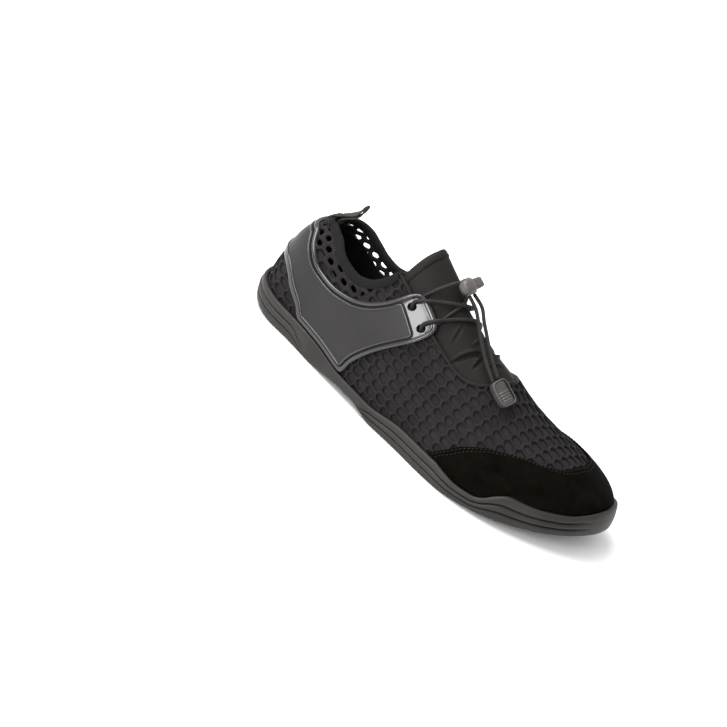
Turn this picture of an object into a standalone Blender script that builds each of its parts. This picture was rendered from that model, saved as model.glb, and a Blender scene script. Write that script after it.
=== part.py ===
"""Water shoe, right foot: net upper, moulded cup sole, support cage, toe cap, tongue and elastic lace.

The shoe stands on its sole. +X points to the toe, +Y to the inner side of the foot, +Z up. The origin
is under the middle of the shoe's box, on the ground. Sizes below are millimetres.
"""

import math

import bmesh
import bpy
import numpy as np
from mathutils import Matrix, Vector

MM = 0.001
GAP = 0.35

LENGTH = 285.0
RAND_WIDTH = 3.4
WALL = 2.2
HEEL_ROUND = 0.125
TOE_ROUND = 0.26
TOE_DROP_START = 0.80
HEEL_LEAN = 12.0
HEEL_HOLLOW = 2.0
TUCK_START, TUCK_SPAN = 50.0, 25.0
TUCK_AHEAD, TUCK_IN = 8.0, 8.0
SPRING_START = 188.0
SPRING_LIFT = 14.0
SPRING_POWER = 1.7
LATERAL, MEDIAL = -1.0, 1.0

INSOLE_THICK = 2.5
TONGUE_THICK = 2.0
TONGUE_SINK = 0.95
CAGE_THICK = 1.5
CAGE_STAND_OFF = 0.5
CAP_THICK = 1.1
CAP_STAND_OFF = 0.9
EYELET_RADIUS = 2.5
LACE_RADIUS = 1.2
TAB_LIFT = 4.6
LOOP_WIDTH = 9.4
LOOP_THICK = 1.2
HEEL_RADIUS = 22.0
GROOVE_WIDTH = 3.0
GROOVE_DEPTH = 1.6

STATIONS = 48
WALL_ROWS = 8
CAGE_ROWS = 4


def table(columns, rows):
    """A short table as a dictionary of named columns."""
    return {name: np.array(values, float) for name, values in zip(columns.split(), zip(*rows))}


PLAN = table("share centre half_width", [
    (0.00, 0.0, 33.0),
    (0.08, -0.7, 32.8),
    (0.16, -1.9, 33.4),
    (0.26, -5.7, 34.6),
    (0.36, -10.0, 35.8),
    (0.46, -11.5, 38.3),
    (0.56, -9.2, 43.0),
    (0.65, -6.2, 49.0),
    (0.72, -3.4, 52.0),
    (0.80, 1.0, 52.0),
    (0.90, 7.5, 50.0),
    (1.00, 13.0, 47.0),
])
RIDGE = table("share height offset fullness", [
    (0.00, 119.0, 0.0, 1.85),
    (0.20, 119.0, 0.0, 1.85),
    (0.35, 107.0, 1.7, 1.80),
    (0.42, 97.5, 2.5, 1.70),
    (0.50, 86.5, 3.3, 1.65),
    (0.58, 76.0, 3.3, 1.65),
    (0.66, 67.0, 3.3, 1.70),
    (0.74, 56.0, 2.9, 1.80),
    (0.82, 47.0, 1.7, 1.95),
    (0.90, 42.0, 0.4, 2.05),
    (1.00, 39.0, 0.0, 2.15),
])
COLLAR = table("share lateral medial", [
    (0.000, 75.0, 75.0),
    (0.050, 75.0, 74.5),
    (0.110, 73.5, 72.5),
    (0.160, 70.0, 68.5),
    (0.200, 67.3, 65.0),
    (0.235, 66.5, 64.0),
    (0.270, 68.8, 66.0),
    (0.305, 76.5, 74.0),
    (0.325, 86.0, 85.0),
])
THROAT = table("share rise", [
    (0.325, 0.580),
    (0.420, 0.575),
    (0.550, 0.570),
    (0.590, 0.590),
    (0.620, 0.640),
    (0.645, 0.740),
    (0.660, 0.860),
    (0.667, 1.000),
])
FLOOR = table("share height", [
    (0.00, 8.0),
    (0.30, 8.0),
    (0.50, 7.5),
    (0.80, 7.0),
    (0.90, 8.0),
    (1.00, 13.0),
])
GROUND = table("share lateral medial", [
    (0.00, 6.5, 6.5),
    (0.04, 2.8, 2.8),
    (0.09, 0.6, 0.6),
    (0.13, 0.0, 0.0),
    (0.25, 0.0, 0.0),
    (0.31, 2.0, 0.0),
    (0.36, 4.0, 1.8),
    (0.41, 4.0, 4.0),
    (0.44, 2.2, 4.0),
    (0.48, 0.0, 3.6),
    (0.53, 0.0, 1.6),
    (0.57, 0.0, 0.0),
    (0.80, 0.0, 0.0),
    (0.90, 0.6, 0.6),
    (1.00, 3.2, 3.2),
])
RAND = table("share lateral medial", [
    (0.00, 17.6, 17.6),
    (0.10, 16.2, 16.2),
    (0.25, 14.2, 14.8),
    (0.35, 10.8, 12.2),
    (0.45, 10.4, 11.2),
    (0.55, 14.0, 13.0),
    (0.68, 13.2, 13.6),
    (0.76, 12.2, 13.0),
    (0.83, 16.6, 14.4),
    (0.90, 14.6, 14.4),
    (1.00, 18.6, 18.6),
])
CAGE_LOW = table("share lateral medial", [
    (0.000, 39.0, 39.0),
    (0.035, 38.5, 38.5),
    (0.065, 36.5, 36.5),
    (0.112, 27.8, 29.0),
    (0.154, 20.0, 22.0),
    (0.182, 0.0, 0.0),
    (0.340, 0.0, 0.0),
    (0.352, 20.0, 20.0),
    (0.370, 30.0, 29.0),
    (0.388, 37.5, 36.5),
    (0.404, 43.0, 42.0),
    (0.432, 51.7, 51.0),
    (0.460, 60.3, 60.0),
    (0.471, 65.0, 65.0),
    (0.478, 69.5, 69.5),
])
CAGE_HIGH = table("share lateral medial", [
    (0.000, 68.1, 68.1),
    (0.035, 67.4, 67.4),
    (0.089, 60.2, 59.4),
    (0.146, 53.0, 52.0),
    (0.198, 51.2, 50.5),
    (0.258, 53.8, 53.2),
    (0.303, 59.0, 58.5),
    (0.335, 65.8, 65.2),
    (0.354, 71.2, 70.7),
    (0.372, 78.0, 77.5),
    (0.386, 82.2, 81.7),
    (0.400, 84.0, 83.5),
    (0.412, 83.2, 82.7),
    (0.440, 79.7, 79.2),
    (0.470, 74.5, 74.2),
    (0.478, 72.0, 71.8),
])
CAP_SEAM = table("climb share", [
    (0.00, 0.640),
    (0.05, 0.652),
    (0.10, 0.665),
    (0.24, 0.700),
    (0.35, 0.744),
    (0.46, 0.800),
    (0.55, 0.866),
    (0.68, 0.900),
    (1.00, 0.918),
])
TONGUE_SIDE = table("share rise", [
    (0.320, 0.500),
    (0.450, 0.475),
    (0.560, 0.470),
    (0.620, 0.530),
    (0.700, 0.700),
])
TONGUE_TOP, TONGUE_TOP_DROP, TONGUE_END = 0.358, 0.030, 0.700
EYELETS = table("share height", [
    (0.400, 74.7),
    (0.448, 67.6),
])
GROOVES = table("share reach", [
    (0.165, 60.0),
    (0.225, 60.0),
    (0.600, 84.0),
    (0.655, 90.0),
])


def read(columns, name, share):
    """Smooth value of one column, with no overshoot between the rows."""
    x = columns["share"] if "share" in columns and name != "share" else columns["climb"]
    y = columns[name]
    step = np.diff(x)
    slope = np.diff(y) / step
    tangent = np.zeros(len(x))
    tangent[0] = slope[0]
    tangent[-1] = slope[-1]
    for row in range(1, len(x) - 1):
        if slope[row - 1] * slope[row] > 0:
            before = 2 * step[row] + step[row - 1]
            after = step[row] + 2 * step[row - 1]
            tangent[row] = (before + after) / (before / slope[row - 1] + after / slope[row])
    share = np.clip(np.asarray(share, float), x[0], x[-1])
    row = np.clip(np.searchsorted(x, share) - 1, 0, len(step) - 1)
    u = (share - x[row]) / step[row]
    low = (1 + 2 * u) * (1 - u) ** 2 * y[row] + u * (1 - u) ** 2 * step[row] * tangent[row]
    high = u * u * (3 - 2 * u) * y[row + 1] + u * u * (u - 1) * step[row] * tangent[row + 1]
    return low + high


def by_side(columns, share, side):
    """A column that differs between the outer and the inner side of the foot."""
    return read(columns, "lateral" if side < 0 else "medial", share)


def end_round(share):
    """Share of the full half width left as the plan closes round the heel and the toe."""
    heel = np.clip(1 - share / HEEL_ROUND, 0, 1)
    toe = np.clip((share - 1 + TOE_ROUND) / TOE_ROUND, 0, 1)
    return np.sqrt(1 - heel ** 2) * (1 - toe ** 2.2) ** (1 / 2.2)


def toe_spring(points):
    """The toe part turned up off the ground, with the wall following the slope."""
    points = np.array(points, float)
    ahead = np.clip((points[..., 0] - SPRING_START) / (LENGTH - SPRING_START), 0, None)
    slope = SPRING_LIFT * SPRING_POWER * ahead ** (SPRING_POWER - 1) / (LENGTH - SPRING_START)
    points[..., 0] -= slope * (points[..., 2] - read(FLOOR, "height", 0.8))
    points[..., 2] += SPRING_LIFT * ahead ** SPRING_POWER
    return points


def outline(share, side, inset):
    """Plan of the sole, moved in by a distance."""
    share = np.asarray(share, float)
    half = (read(PLAN, "half_width", share) - inset) * end_round(share)
    return inset + share * (LENGTH - 2 * inset), read(PLAN, "centre", share) + side * half


def section(share):
    """The last's section at a station: middle, half width, floor, ridge place and height, fullness."""
    rounding = end_round(share)
    x = RAND_WIDTH + 1 + share * (LENGTH - 2 * RAND_WIDTH - 2)
    floor = read(FLOOR, "height", x / LENGTH)
    drop = np.clip((share - TOE_DROP_START) / (1 - TOE_DROP_START), 0, 1)
    ridge = floor + (read(RIDGE, "height", share) - floor) * (1 - drop ** 2.3) ** (1 / 2.3)
    middle = read(PLAN, "centre", share)
    return {
        "x": x,
        "middle": middle,
        "half": (read(PLAN, "half_width", share) - RAND_WIDTH) * rounding,
        "floor": floor,
        "ridge": ridge,
        "ridge_y": middle + read(RIDGE, "offset", share) * rounding,
        "fullness": read(RIDGE, "fullness", share),
    }


def wall_flat(share, side, rise):
    """Outer face of the upper before the toe spring: rise is 0 at the sole's floor and 1 on the ridge."""
    share, rise = np.broadcast_arrays(np.asarray(share, float), np.asarray(rise, float))
    cut = section(share)
    angle = np.clip(rise, 0, 1) * math.pi / 2
    power = 2 / cut["fullness"]
    y = cut["ridge_y"] + (cut["middle"] + side * cut["half"] - cut["ridge_y"]) * np.cos(angle) ** power
    z = cut["floor"] + (cut["ridge"] - cut["floor"]) * np.sin(angle) ** power
    back = np.clip(1 - share / 0.3, 0, 1) ** 2
    climb = np.clip((z - cut["floor"]) / 65, 0, 2)
    hollow = HEEL_HOLLOW * np.sin(math.pi * np.clip(climb * 1.6, 0, 1))
    tuck = np.clip((z - TUCK_START) / TUCK_SPAN, 0, 1.2) ** 2
    x = cut["x"] + back * (HEEL_LEAN * climb ** 1.7 - hollow + TUCK_AHEAD * tuck)
    if side < 0:
        corner = np.clip(np.minimum(share / 0.05, (0.18 - share) / 0.08), 0, 1)
        y = y + TUCK_IN * tuck * corner * corner * (3 - 2 * corner)
    return np.stack([x, y, z], -1)


def wall(share, side, rise, off=0.0):
    """Point on the upper's outer face, moved out along its normal."""
    small = 0.004
    share, rise = np.broadcast_arrays(np.asarray(share, float), np.asarray(rise, float))
    ahead, behind = np.minimum(share + small, 1), np.maximum(share - small, 0)
    above, below = np.minimum(rise + small, 1), np.maximum(rise - small, 0)
    along = wall_flat(ahead, side, rise) - wall_flat(behind, side, rise)
    up = wall_flat(share, side, above) - wall_flat(share, side, below)
    normal = np.cross(along, up) * -side
    size = np.maximum(np.linalg.norm(normal, axis=-1, keepdims=True), 1e-9)
    normal = normal / size
    heel = np.expand_dims(share < 1e-6, -1)
    normal = np.where(heel, normal * np.array([1.0, 0.0, 1.0]), normal)
    return toe_spring(wall_flat(share, side, rise) + normal * off)


def rise_at(share, height):
    """The rise at which the wall reaches a height."""
    cut = section(np.asarray(share, float))
    up = np.clip((height - cut["floor"]) / np.maximum(cut["ridge"] - cut["floor"], 1e-6), 0, 1)
    return np.arcsin(up ** (cut["fullness"] / 2)) * 2 / math.pi


def across(share, spread, off):
    """Point over the throat: spread runs from -1 (outer side, at the floor) over 0 (ridge) to 1."""
    share, spread = np.broadcast_arrays(np.asarray(share, float), np.asarray(spread, float))
    outer = wall(share, LATERAL, 1 - np.abs(spread), off)
    inner = wall(share, MEDIAL, 1 - np.abs(spread), off)
    return np.where((spread <= 0)[..., None], outer, inner)


def upper_top(share, side):
    """Rise of the upper's top edge: the collar, then the throat, then the closed ridge."""
    if share < COLLAR["share"][-1]:
        return float(rise_at(share, by_side(COLLAR, share, side)))
    if share < THROAT["share"][-1]:
        return float(read(THROAT, "rise", share))
    return 1.0


def spaced(low, high, count, extra=()):
    """Stations from heel to toe, closer together at both ends of the shoe, with some set places added."""
    even = [(1 - math.cos(math.pi * step / STATIONS)) / 2 for step in range(STATIONS + 1)]
    kept = sorted(set([low, high]) | {value for value in extra if low <= value <= high})
    for value in even:
        if low < value < high and min(abs(value - other) for other in kept) > 0.35 / count:
            kept.append(value)
    return sorted(kept)


def shoe_middle():
    """Middle of the shoe's box, seen from above."""
    share = np.linspace(0, 1, 400)
    low = outline(share, LATERAL, 0)[1].min()
    high = outline(share, MEDIAL, 0)[1].max()
    return np.array([LENGTH / 2, (low + high) / 2, 0.0])


MIDDLE = shoe_middle()


def placed(point):
    """A point of the shoe in the part's frame, in metres."""
    return Vector((np.asarray(point, float) - MIDDLE) * MM)


def new_object(name, mesh, collection, material=None):
    piece = bpy.data.objects.new(name, mesh)
    collection.objects.link(piece)
    if material:
        mesh.materials.append(material)
    return piece


def skin(name, rows, collection, material=None, flip=False, ring=False):
    """Loft through rows of points; points that coincide are welded."""
    form = bmesh.new()
    grid = [[form.verts.new(placed(point)) for point in row] for row in rows]
    count = len(grid[0])
    for first, second in zip(grid, grid[1:]):
        for step in range(count if ring else count - 1):
            after = (step + 1) % count
            corners = [first[step], second[step], second[after], first[after]]
            form.faces.new(corners[::-1] if flip else corners)
    bmesh.ops.remove_doubles(form, verts=form.verts, dist=2e-6)
    bmesh.ops.dissolve_degenerate(form, edges=form.edges, dist=2e-6)
    mesh = bpy.data.meshes.new(name)
    form.to_mesh(mesh)
    form.free()
    mesh.shade_smooth()
    return new_object(name, mesh, collection, material)


def thicken(piece, thickness, offset):
    solid = piece.modifiers.new("thickness", "SOLIDIFY")
    solid.thickness = thickness * MM
    solid.offset = offset
    solid.use_rim = True
    solid.use_even_offset = False


def cut_by(piece, cutter):
    cut = piece.modifiers.new(cutter.name, "BOOLEAN")
    cut.operation = "DIFFERENCE"
    cut.solver = "EXACT"
    cut.object = cutter


def as_cutter(piece):
    piece.hide_render = True
    piece.display_type = "WIRE"


def joined(piece, others):
    """One closed solid from pieces that overlap."""
    for other in others:
        union = piece.modifiers.new(other.name, "BOOLEAN")
        union.operation = "UNION"
        union.solver = "EXACT"
        union.object = other
        as_cutter(other)


def material(name, colour, roughness, metallic=0.0):
    shade = bpy.data.materials.new(name)
    shade.use_nodes = True
    surface = shade.node_tree.nodes["Principled BSDF"]
    surface.inputs["Base Color"].default_value = (*colour, 1.0)
    surface.inputs["Roughness"].default_value = roughness
    surface.inputs["Metallic"].default_value = metallic
    return shade


def smooth_path(points, count):
    """Evenly spaced points on a smooth curve through a route."""
    points = np.array(points, float)
    padded = np.vstack([2 * points[0] - points[1], points, 2 * points[-1] - points[-2]])
    dense = []
    for leg in range(len(points) - 1):
        a, b, c, d = padded[leg:leg + 4]
        for u in np.linspace(0, 1, 24, endpoint=False):
            dense.append(0.5 * (2 * b + (c - a) * u + (2 * a - 5 * b + 4 * c - d) * u ** 2
                                + (3 * b - a - 3 * c + d) * u ** 3))
    dense = np.vstack([dense, points[-1]])
    run = np.concatenate([[0], np.cumsum(np.linalg.norm(np.diff(dense, axis=0), axis=1))])
    even = np.linspace(0, run[-1], count)
    return np.stack([np.interp(even, run, dense[:, axis]) for axis in range(3)], -1)


def tube(name, route, count, radius, collection, shade=None):
    """Round cord along a route, as a closed mesh."""
    curve = bpy.data.curves.new(name, "CURVE")
    curve.dimensions = "3D"
    curve.bevel_depth = radius * MM
    curve.bevel_resolution = 2
    curve.use_fill_caps = True
    spline = curve.splines.new("POLY")
    points = smooth_path(route, count)
    spline.points.add(len(points) - 1)
    for knot, point in zip(spline.points, points):
        knot.co = (*placed(point), 1.0)
    guide = bpy.data.objects.new(name + "_path", curve)
    collection.objects.link(guide)
    bpy.context.view_layer.update()
    mesh = bpy.data.meshes.new_from_object(guide.evaluated_get(bpy.context.evaluated_depsgraph_get()))
    bpy.data.objects.remove(guide)
    form = bmesh.new()
    form.from_mesh(mesh)
    bmesh.ops.remove_doubles(form, verts=form.verts, dist=1e-6)
    bmesh.ops.recalc_face_normals(form, faces=form.faces)
    form.to_mesh(mesh)
    form.free()
    mesh.name = name
    mesh.shade_smooth()
    return new_object(name, mesh, collection, shade)


def rod(name, start, end, radius, sides, collection):
    """Straight cylinder between two points of the shoe."""
    start, end = placed(start), placed(end)
    form = bmesh.new()
    turn = (end - start).to_track_quat("Z", "Y").to_matrix().to_4x4()
    bmesh.ops.create_cone(
        form, cap_ends=True, segments=sides, radius1=radius * MM, radius2=radius * MM,
        depth=(end - start).length, matrix=Matrix.Translation((start + end) / 2) @ turn)
    mesh = bpy.data.meshes.new(name)
    form.to_mesh(mesh)
    form.free()
    return new_object(name, mesh, collection)


def block(name, size, place, collection, shade=None, round_by=0.0):
    """Box with rounded edges, on a placing matrix."""
    form = bmesh.new()
    bmesh.ops.create_cube(form, size=1.0)
    bmesh.ops.scale(form, vec=Vector(size) * MM, verts=form.verts)
    if round_by:
        bmesh.ops.bevel(
            form, geom=form.edges[:], offset=round_by * MM, segments=2, affect="EDGES", profile=0.5)
    bmesh.ops.transform(form, matrix=place, verts=form.verts)
    mesh = bpy.data.meshes.new(name)
    form.to_mesh(mesh)
    form.free()
    return new_object(name, mesh, collection, shade)


def frame_on(share, spread, off):
    """Placing matrix on the throat: X along the shoe, Y across it, Z out of the surface."""
    origin = placed(across(share, spread, off))
    ahead = placed(across(share + 0.01, spread, off)) - origin
    aside = placed(across(share, spread + 0.02, off)) - placed(across(share, spread - 0.02, off))
    up = ahead.cross(aside).normalized()
    ahead.normalize()
    aside = up.cross(ahead)
    turn = Matrix((ahead, aside, up)).transposed().to_4x4()
    return Matrix.Translation(origin) @ turn


def build_sole(collection, cutters, shade):
    """Cup sole: tread, rounded side wall, rand top, inner face of the rand and floor, as rings."""
    stations = spaced(0.0, 1.0, STATIONS, extra=(0.13, 0.25, 0.48, 0.57))
    loop = [(share, LATERAL) for share in stations] + [(share, MEDIAL) for share in reversed(stations[1:-1])]
    spine_low, spine_high = 40.0, LENGTH - 55.0

    def toward_spine(x, y, keep):
        middle_x = min(max(x, spine_low), spine_high)
        middle_y = float(read(PLAN, "centre", middle_x / LENGTH))
        return middle_x + (x - middle_x) * keep, middle_y + (y - middle_y) * keep

    def bottom(share, side, inset, keep, lift):
        x, y = outline(share, side, inset)
        x, y = toward_spine(float(x), float(y), keep)
        ground = float(by_side(GROUND, x / LENGTH, side))
        even = float(by_side(GROUND, x / LENGTH, LATERAL) + by_side(GROUND, x / LENGTH, MEDIAL)) / 2
        return [x, y, even + (ground - even) * keep + lift]

    def side_wall(share, side, inset, climb):
        x, y = outline(share, side, inset)
        ground = float(by_side(GROUND, float(x) / LENGTH, side))
        top = float(by_side(RAND, float(x) / LENGTH, side))
        return [float(x), float(y), ground + (top - ground) * climb]

    def rand_inside(share, side, climb):
        cut = section(share)
        low = float(cut["floor"]) - GAP
        top = float(by_side(RAND, float(cut["x"]) / LENGTH, side))
        height = low + (top - low) * climb
        rise = rise_at(share, max(height, float(cut["floor"])))
        return wall_flat(share, side, rise) * [1, 1, 0] + [0, 0, height]

    def pushed(share, side, climb):
        point = rand_inside(share, side, climb)
        x, y = outline(share, side, 0)
        reach = np.array([float(x) - point[0], float(y) - point[1], 0.0])
        return point + reach / max(np.linalg.norm(reach), 1e-9) * (GAP + 0.2)

    def floor_at(share, side, keep):
        point = pushed(share, side, 0.0)
        x, y = toward_spine(point[0], point[1], keep)
        return [x, y, float(read(FLOOR, "height", x / LENGTH)) - GAP]

    rings = [
        [bottom(share, side, 2.2, 0.0, 0.0) for share, side in loop],
        [bottom(share, side, 2.2, 0.5, 0.0) for share, side in loop],
        [bottom(share, side, 2.2, 1.0, 0.0) for share, side in loop],
        [side_wall(share, side, 0.5, 0.16) for share, side in loop],
        [side_wall(share, side, 0.0, 0.45) for share, side in loop],
        [side_wall(share, side, 0.3, 0.86) for share, side in loop],
        [side_wall(share, side, 0.9, 1.0) for share, side in loop],
        [pushed(share, side, 1.0) for share, side in loop],
        [pushed(share, side, 0.5) for share, side in loop],
        [pushed(share, side, 0.0) for share, side in loop],
        [floor_at(share, side, 0.5) for share, side in loop],
        [floor_at(share, side, 0.0) for share, side in loop],
    ]
    sole = skin("outsole", [toe_spring(ring) for ring in rings], collection, shade, flip=True, ring=True)
    for number, (share, reach) in enumerate(zip(GROOVES["share"], GROOVES["reach"])):
        x = share * LENGTH
        middle = placed([x, float(read(PLAN, "centre", share)), 0.0])
        place = Matrix.Translation(middle)
        cutter = block(f"flex_groove_{number}", (GROOVE_WIDTH, reach, 2 * GROOVE_DEPTH), place, cutters)
        as_cutter(cutter)
        cut_by(sole, cutter)
    return sole


def build_insole(collection, shade):
    """Loose flat insole on the sole's floor."""
    inset = RAND_WIDTH + WALL + 3.2
    rows = []
    for share in spaced(0.004, 0.970, 24):
        left = outline(share, LATERAL, inset)
        right = outline(share, MEDIAL, inset)
        row = []
        for step in np.linspace(0, 1, 5):
            x = float(left[0])
            y = float(left[1] + (right[1] - left[1]) * step)
            row.append([x, y, float(read(FLOOR, "height", x / LENGTH)) + 2 * GAP])
        rows.append(toe_spring(row))
    thicken(skin("insole", rows, collection, shade), INSOLE_THICK, 1.0)


def build_upper(collection, shade):
    """Net upper: one hollow shell from the sole's floor to the collar, throat and toe."""
    stations = spaced(0.0, 1.0, STATIONS, extra=list(THROAT["share"]) + [0.235, 0.305])
    rows = []
    for share in stations:
        outer = [upper_top(share, LATERAL) * step / WALL_ROWS for step in range(WALL_ROWS + 1)]
        inner = [upper_top(share, MEDIAL) * step / WALL_ROWS for step in range(WALL_ROWS + 1)]
        rows.append((wall(share, LATERAL, np.array(outer)), wall(share, MEDIAL, np.array(inner))))
    form = skin("upper", [row[0] for row in rows], collection, shade)
    half = skin("upper_medial", [row[1] for row in rows], collection, flip=True)
    shell = bmesh.new()
    shell.from_mesh(form.data)
    shell.from_mesh(half.data)
    bmesh.ops.remove_doubles(shell, verts=shell.verts, dist=2e-6)
    shell.to_mesh(form.data)
    shell.free()
    bpy.data.objects.remove(half)
    thicken(form, WALL, -1.0)


def build_tongue(collection, shade):
    """Stretch tongue under the throat, up to its free top edge."""
    spread = np.linspace(-1, 1, 15)
    rows = []
    for step in np.linspace(0, 1, 17):
        start = TONGUE_TOP - TONGUE_TOP_DROP * np.abs(spread) ** 1.5
        share = start + (TONGUE_END - start) * step
        reach = 1 - read(TONGUE_SIDE, "rise", share)
        rows.append(across(share, spread * reach, -(WALL + TONGUE_SINK)))
    thicken(skin("tongue", rows, collection, shade), TONGUE_THICK, -1.0)


def cage_edges(share, side):
    """Rise of the cage's lower and upper edges."""
    x = RAND_WIDTH + 1 + share * (LENGTH - 2 * RAND_WIDTH - 2)
    low = max(float(by_side(CAGE_LOW, share, side)), float(by_side(RAND, x / LENGTH, side)) + 0.6)
    return float(rise_at(share, low)), float(rise_at(share, by_side(CAGE_HIGH, share, side)))


def build_cage(collection, cutters, shade):
    """Moulded support cage: two side panels joined round the heel, with lace tabs."""
    stations = spaced(0.0, 0.478, STATIONS, extra=list(CAGE_LOW["share"]) + [0.372, 0.386, 0.400, 0.412])
    trail = [(share, LATERAL) for share in reversed(stations)] + [(share, MEDIAL) for share in stations[1:]]
    rows = []
    for share, side in trail:
        low, high = cage_edges(share, side)
        rows.append([wall(share, side, low + (high - low) * step / CAGE_ROWS, CAGE_STAND_OFF)
                     for step in range(CAGE_ROWS + 1)])
    cage = skin("cage", rows, collection, shade, flip=True)
    thicken(cage, CAGE_THICK, 1.0)
    for side, word in ((LATERAL, "lateral"), (MEDIAL, "medial")):
        for number, (share, height) in enumerate(zip(EYELETS["share"], EYELETS["height"])):
            rise = rise_at(share, height)
            start, end = wall(share, side, rise, -3.0), wall(share, side, rise, 8.0)
            cutter = rod(f"eyelet_{word}_{number}", start, end, EYELET_RADIUS, 14, cutters)
            as_cutter(cutter)
            cut_by(cage, cutter)


def build_toe_cap(collection, shade):
    """Toe cap on the upper, from its stitched seam to the tip, just above the rand."""

    def rand_rise(share, side):
        x = RAND_WIDTH + 1 + share * (LENGTH - 2 * RAND_WIDTH - 2)
        return float(rise_at(share, float(by_side(RAND, x / LENGTH, side)) + 0.7))

    def room(share):
        cut = section(share)
        x = float(cut["x"]) / LENGTH
        top = max(float(by_side(RAND, x, LATERAL)), float(by_side(RAND, x, MEDIAL)))
        return float(cut["ridge"]) - top - 0.7

    low, high = 0.93, 1.0
    for _ in range(30):
        tip = (low + high) / 2
        low, high = (tip, high) if room(tip) > 0 else (low, tip)

    climbs = [0.0, 0.05, 0.12, 0.22, 0.35, 0.48, 0.62, 0.8, 1.0]
    lines = [(climb, LATERAL) for climb in climbs] + [(climb, MEDIAL) for climb in reversed(climbs[:-1])]
    rows = []
    for step in np.linspace(0, 1, 13):
        row = []
        for climb, side in lines:
            start = float(read(CAP_SEAM, "share", climb))
            share = start + (low - start) * math.sin(step * math.pi / 2)
            bottom = rand_rise(share, side)
            row.append(wall(share, side, bottom + (1 - bottom) * climb, CAP_STAND_OFF))
        rows.append(row)
    thicken(skin("toe_cap", rows, collection, shade), CAP_THICK, 1.0)


def build_pull_loop(collection, shade):
    """Folded webbing loop that straddles the collar at the heel."""
    def at(height, off):
        return wall(0.0, MEDIAL, rise_at(0.0, height), off)

    top = at(75.0, -WALL / 2)
    outside = GAP + LOOP_THICK / 2 + 0.1
    inside = -(WALL + outside + 0.3)
    route = [
        at(71.6, outside), at(73.2, outside), at(74.8, outside + 0.2),
        top + [-0.2, 0, 4.8], top + [3.2, 0, 8.6], top + [8.2, 0, 13.0], top + [12.6, 0, 16.8],
        top + [14.0, 0, 17.0], top + [14.2, 0, 15.4], top + [10.2, 0, 11.0],
        top + [5.6, 0, 6.6], top + [3.0, 0, 2.4],
        at(74.0, inside - 0.6), at(70.5, inside), at(66.0, inside),
    ]
    rows = []
    for point in smooth_path(route, 22):
        asides = [LOOP_WIDTH * step for step in (-0.5, 0.0, 0.5)]
        rows.append([point + [aside ** 2 / (2 * HEEL_RADIUS), aside, 0] for aside in asides])
    thicken(skin("pull_loop", rows, collection, shade), LOOP_THICK, 0.0)


def lace_run(start, end, lift_start, lift_end, bow=0.0):
    """Route over the tongue between two places given as share and spread, bowed toward the toe."""
    route = []
    for step in np.linspace(0, 1, 9):
        share = start[0] + (end[0] - start[0]) * step + bow * math.sin(math.pi * step)
        spread = start[1] + (end[1] - start[1]) * step
        edge = np.clip((abs(spread) - 0.26) / 0.10, 0, 1)
        lift = lift_start + (lift_end - lift_start) * step
        route.append(across(share, spread, lift + (TAB_LIFT - lift) * edge))
    return route


def build_lace(collection, cutters, shade):
    """Elastic lace: bars and crossings between the tabs, and the two runs up to the cord lock."""
    holes = []
    for share, height in zip(EYELETS["share"], EYELETS["height"]):
        holes.append((share, 1 - float(rise_at(share, height)) - 0.012))
    (top, top_spread), (low, low_spread) = holes
    runs = [
        lace_run((low, -low_spread), (0.512, 0.400), 0.6, 0.6, bow=0.033),
        lace_run((top, -top_spread), (low + 0.012, low_spread), 0.6, 0.6, bow=0.055),
        lace_run((low, -low_spread), (top + 0.012, top_spread), 0.6, 0.6, bow=0.037),
        lace_run((top, -top_spread), (0.4265, -0.075), 0.6, 6.6),
        lace_run((top + 0.012, top_spread), (0.4265, 0.075), 0.6, 6.6),
    ]
    lace = tube("lace", runs[0], 10, LACE_RADIUS, collection, shade)
    others = []
    for number, run in enumerate(runs[1:]):
        others.append(tube(f"lace_run_{number}", run, 10, LACE_RADIUS, cutters))
    joined(lace, others)


def build_cord_lock(collection, cutters, shade):
    """Sprung cord lock on the tongue: a round body with a square button across it."""
    place = frame_on(0.450, 0.0, 7.0)
    lock = block("cord_lock", (11.0, 13.0, 9.0), place, collection, shade, round_by=3.2)
    button_place = place @ Matrix.Translation((0, 0.0095, 0.001))
    button = block("lock_button", (7.0, 9.0, 6.0), button_place, cutters, round_by=1.2)
    joined(lock, [button])


def build_tails(collection, cutters, shades):
    """The two free ends of the lace, from the cord lock to the end clip."""
    routes = {
        "outer": [
            across(0.4690, -0.045, 6.8), across(0.498, -0.055, 6.6), across(0.522, -0.095, 6.0),
            across(0.550, -0.150, 5.4),
            across(0.576, -0.190, 5.0), across(0.602, -0.225, 4.6), across(0.6425, -0.268, 4.3)],
        "inner": [
            across(0.4690, 0.045, 6.8), across(0.500, 0.045, 7.0), across(0.528, -0.040, 6.4),
            across(0.552, -0.085, 5.8),
            across(0.574, -0.125, 5.3), across(0.602, -0.170, 4.8), across(0.6425, -0.222, 4.3)],
    }
    for word, route in routes.items():
        tube(f"lace_tail_{word}", route, 20, LACE_RADIUS, collection, shades["lace"])
    place = frame_on(0.679, -0.245, 4.3)
    clip = block("cord_end", (17.0, 11.5, 6.4), place, collection, shades["clip"], round_by=1.8)
    slot = block("cord_end_slot", (4.0, 5.0, 12.0), place @ Matrix.Translation((0.0045, 0, 0)), cutters)
    as_cutter(slot)
    cut_by(clip, slot)


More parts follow.
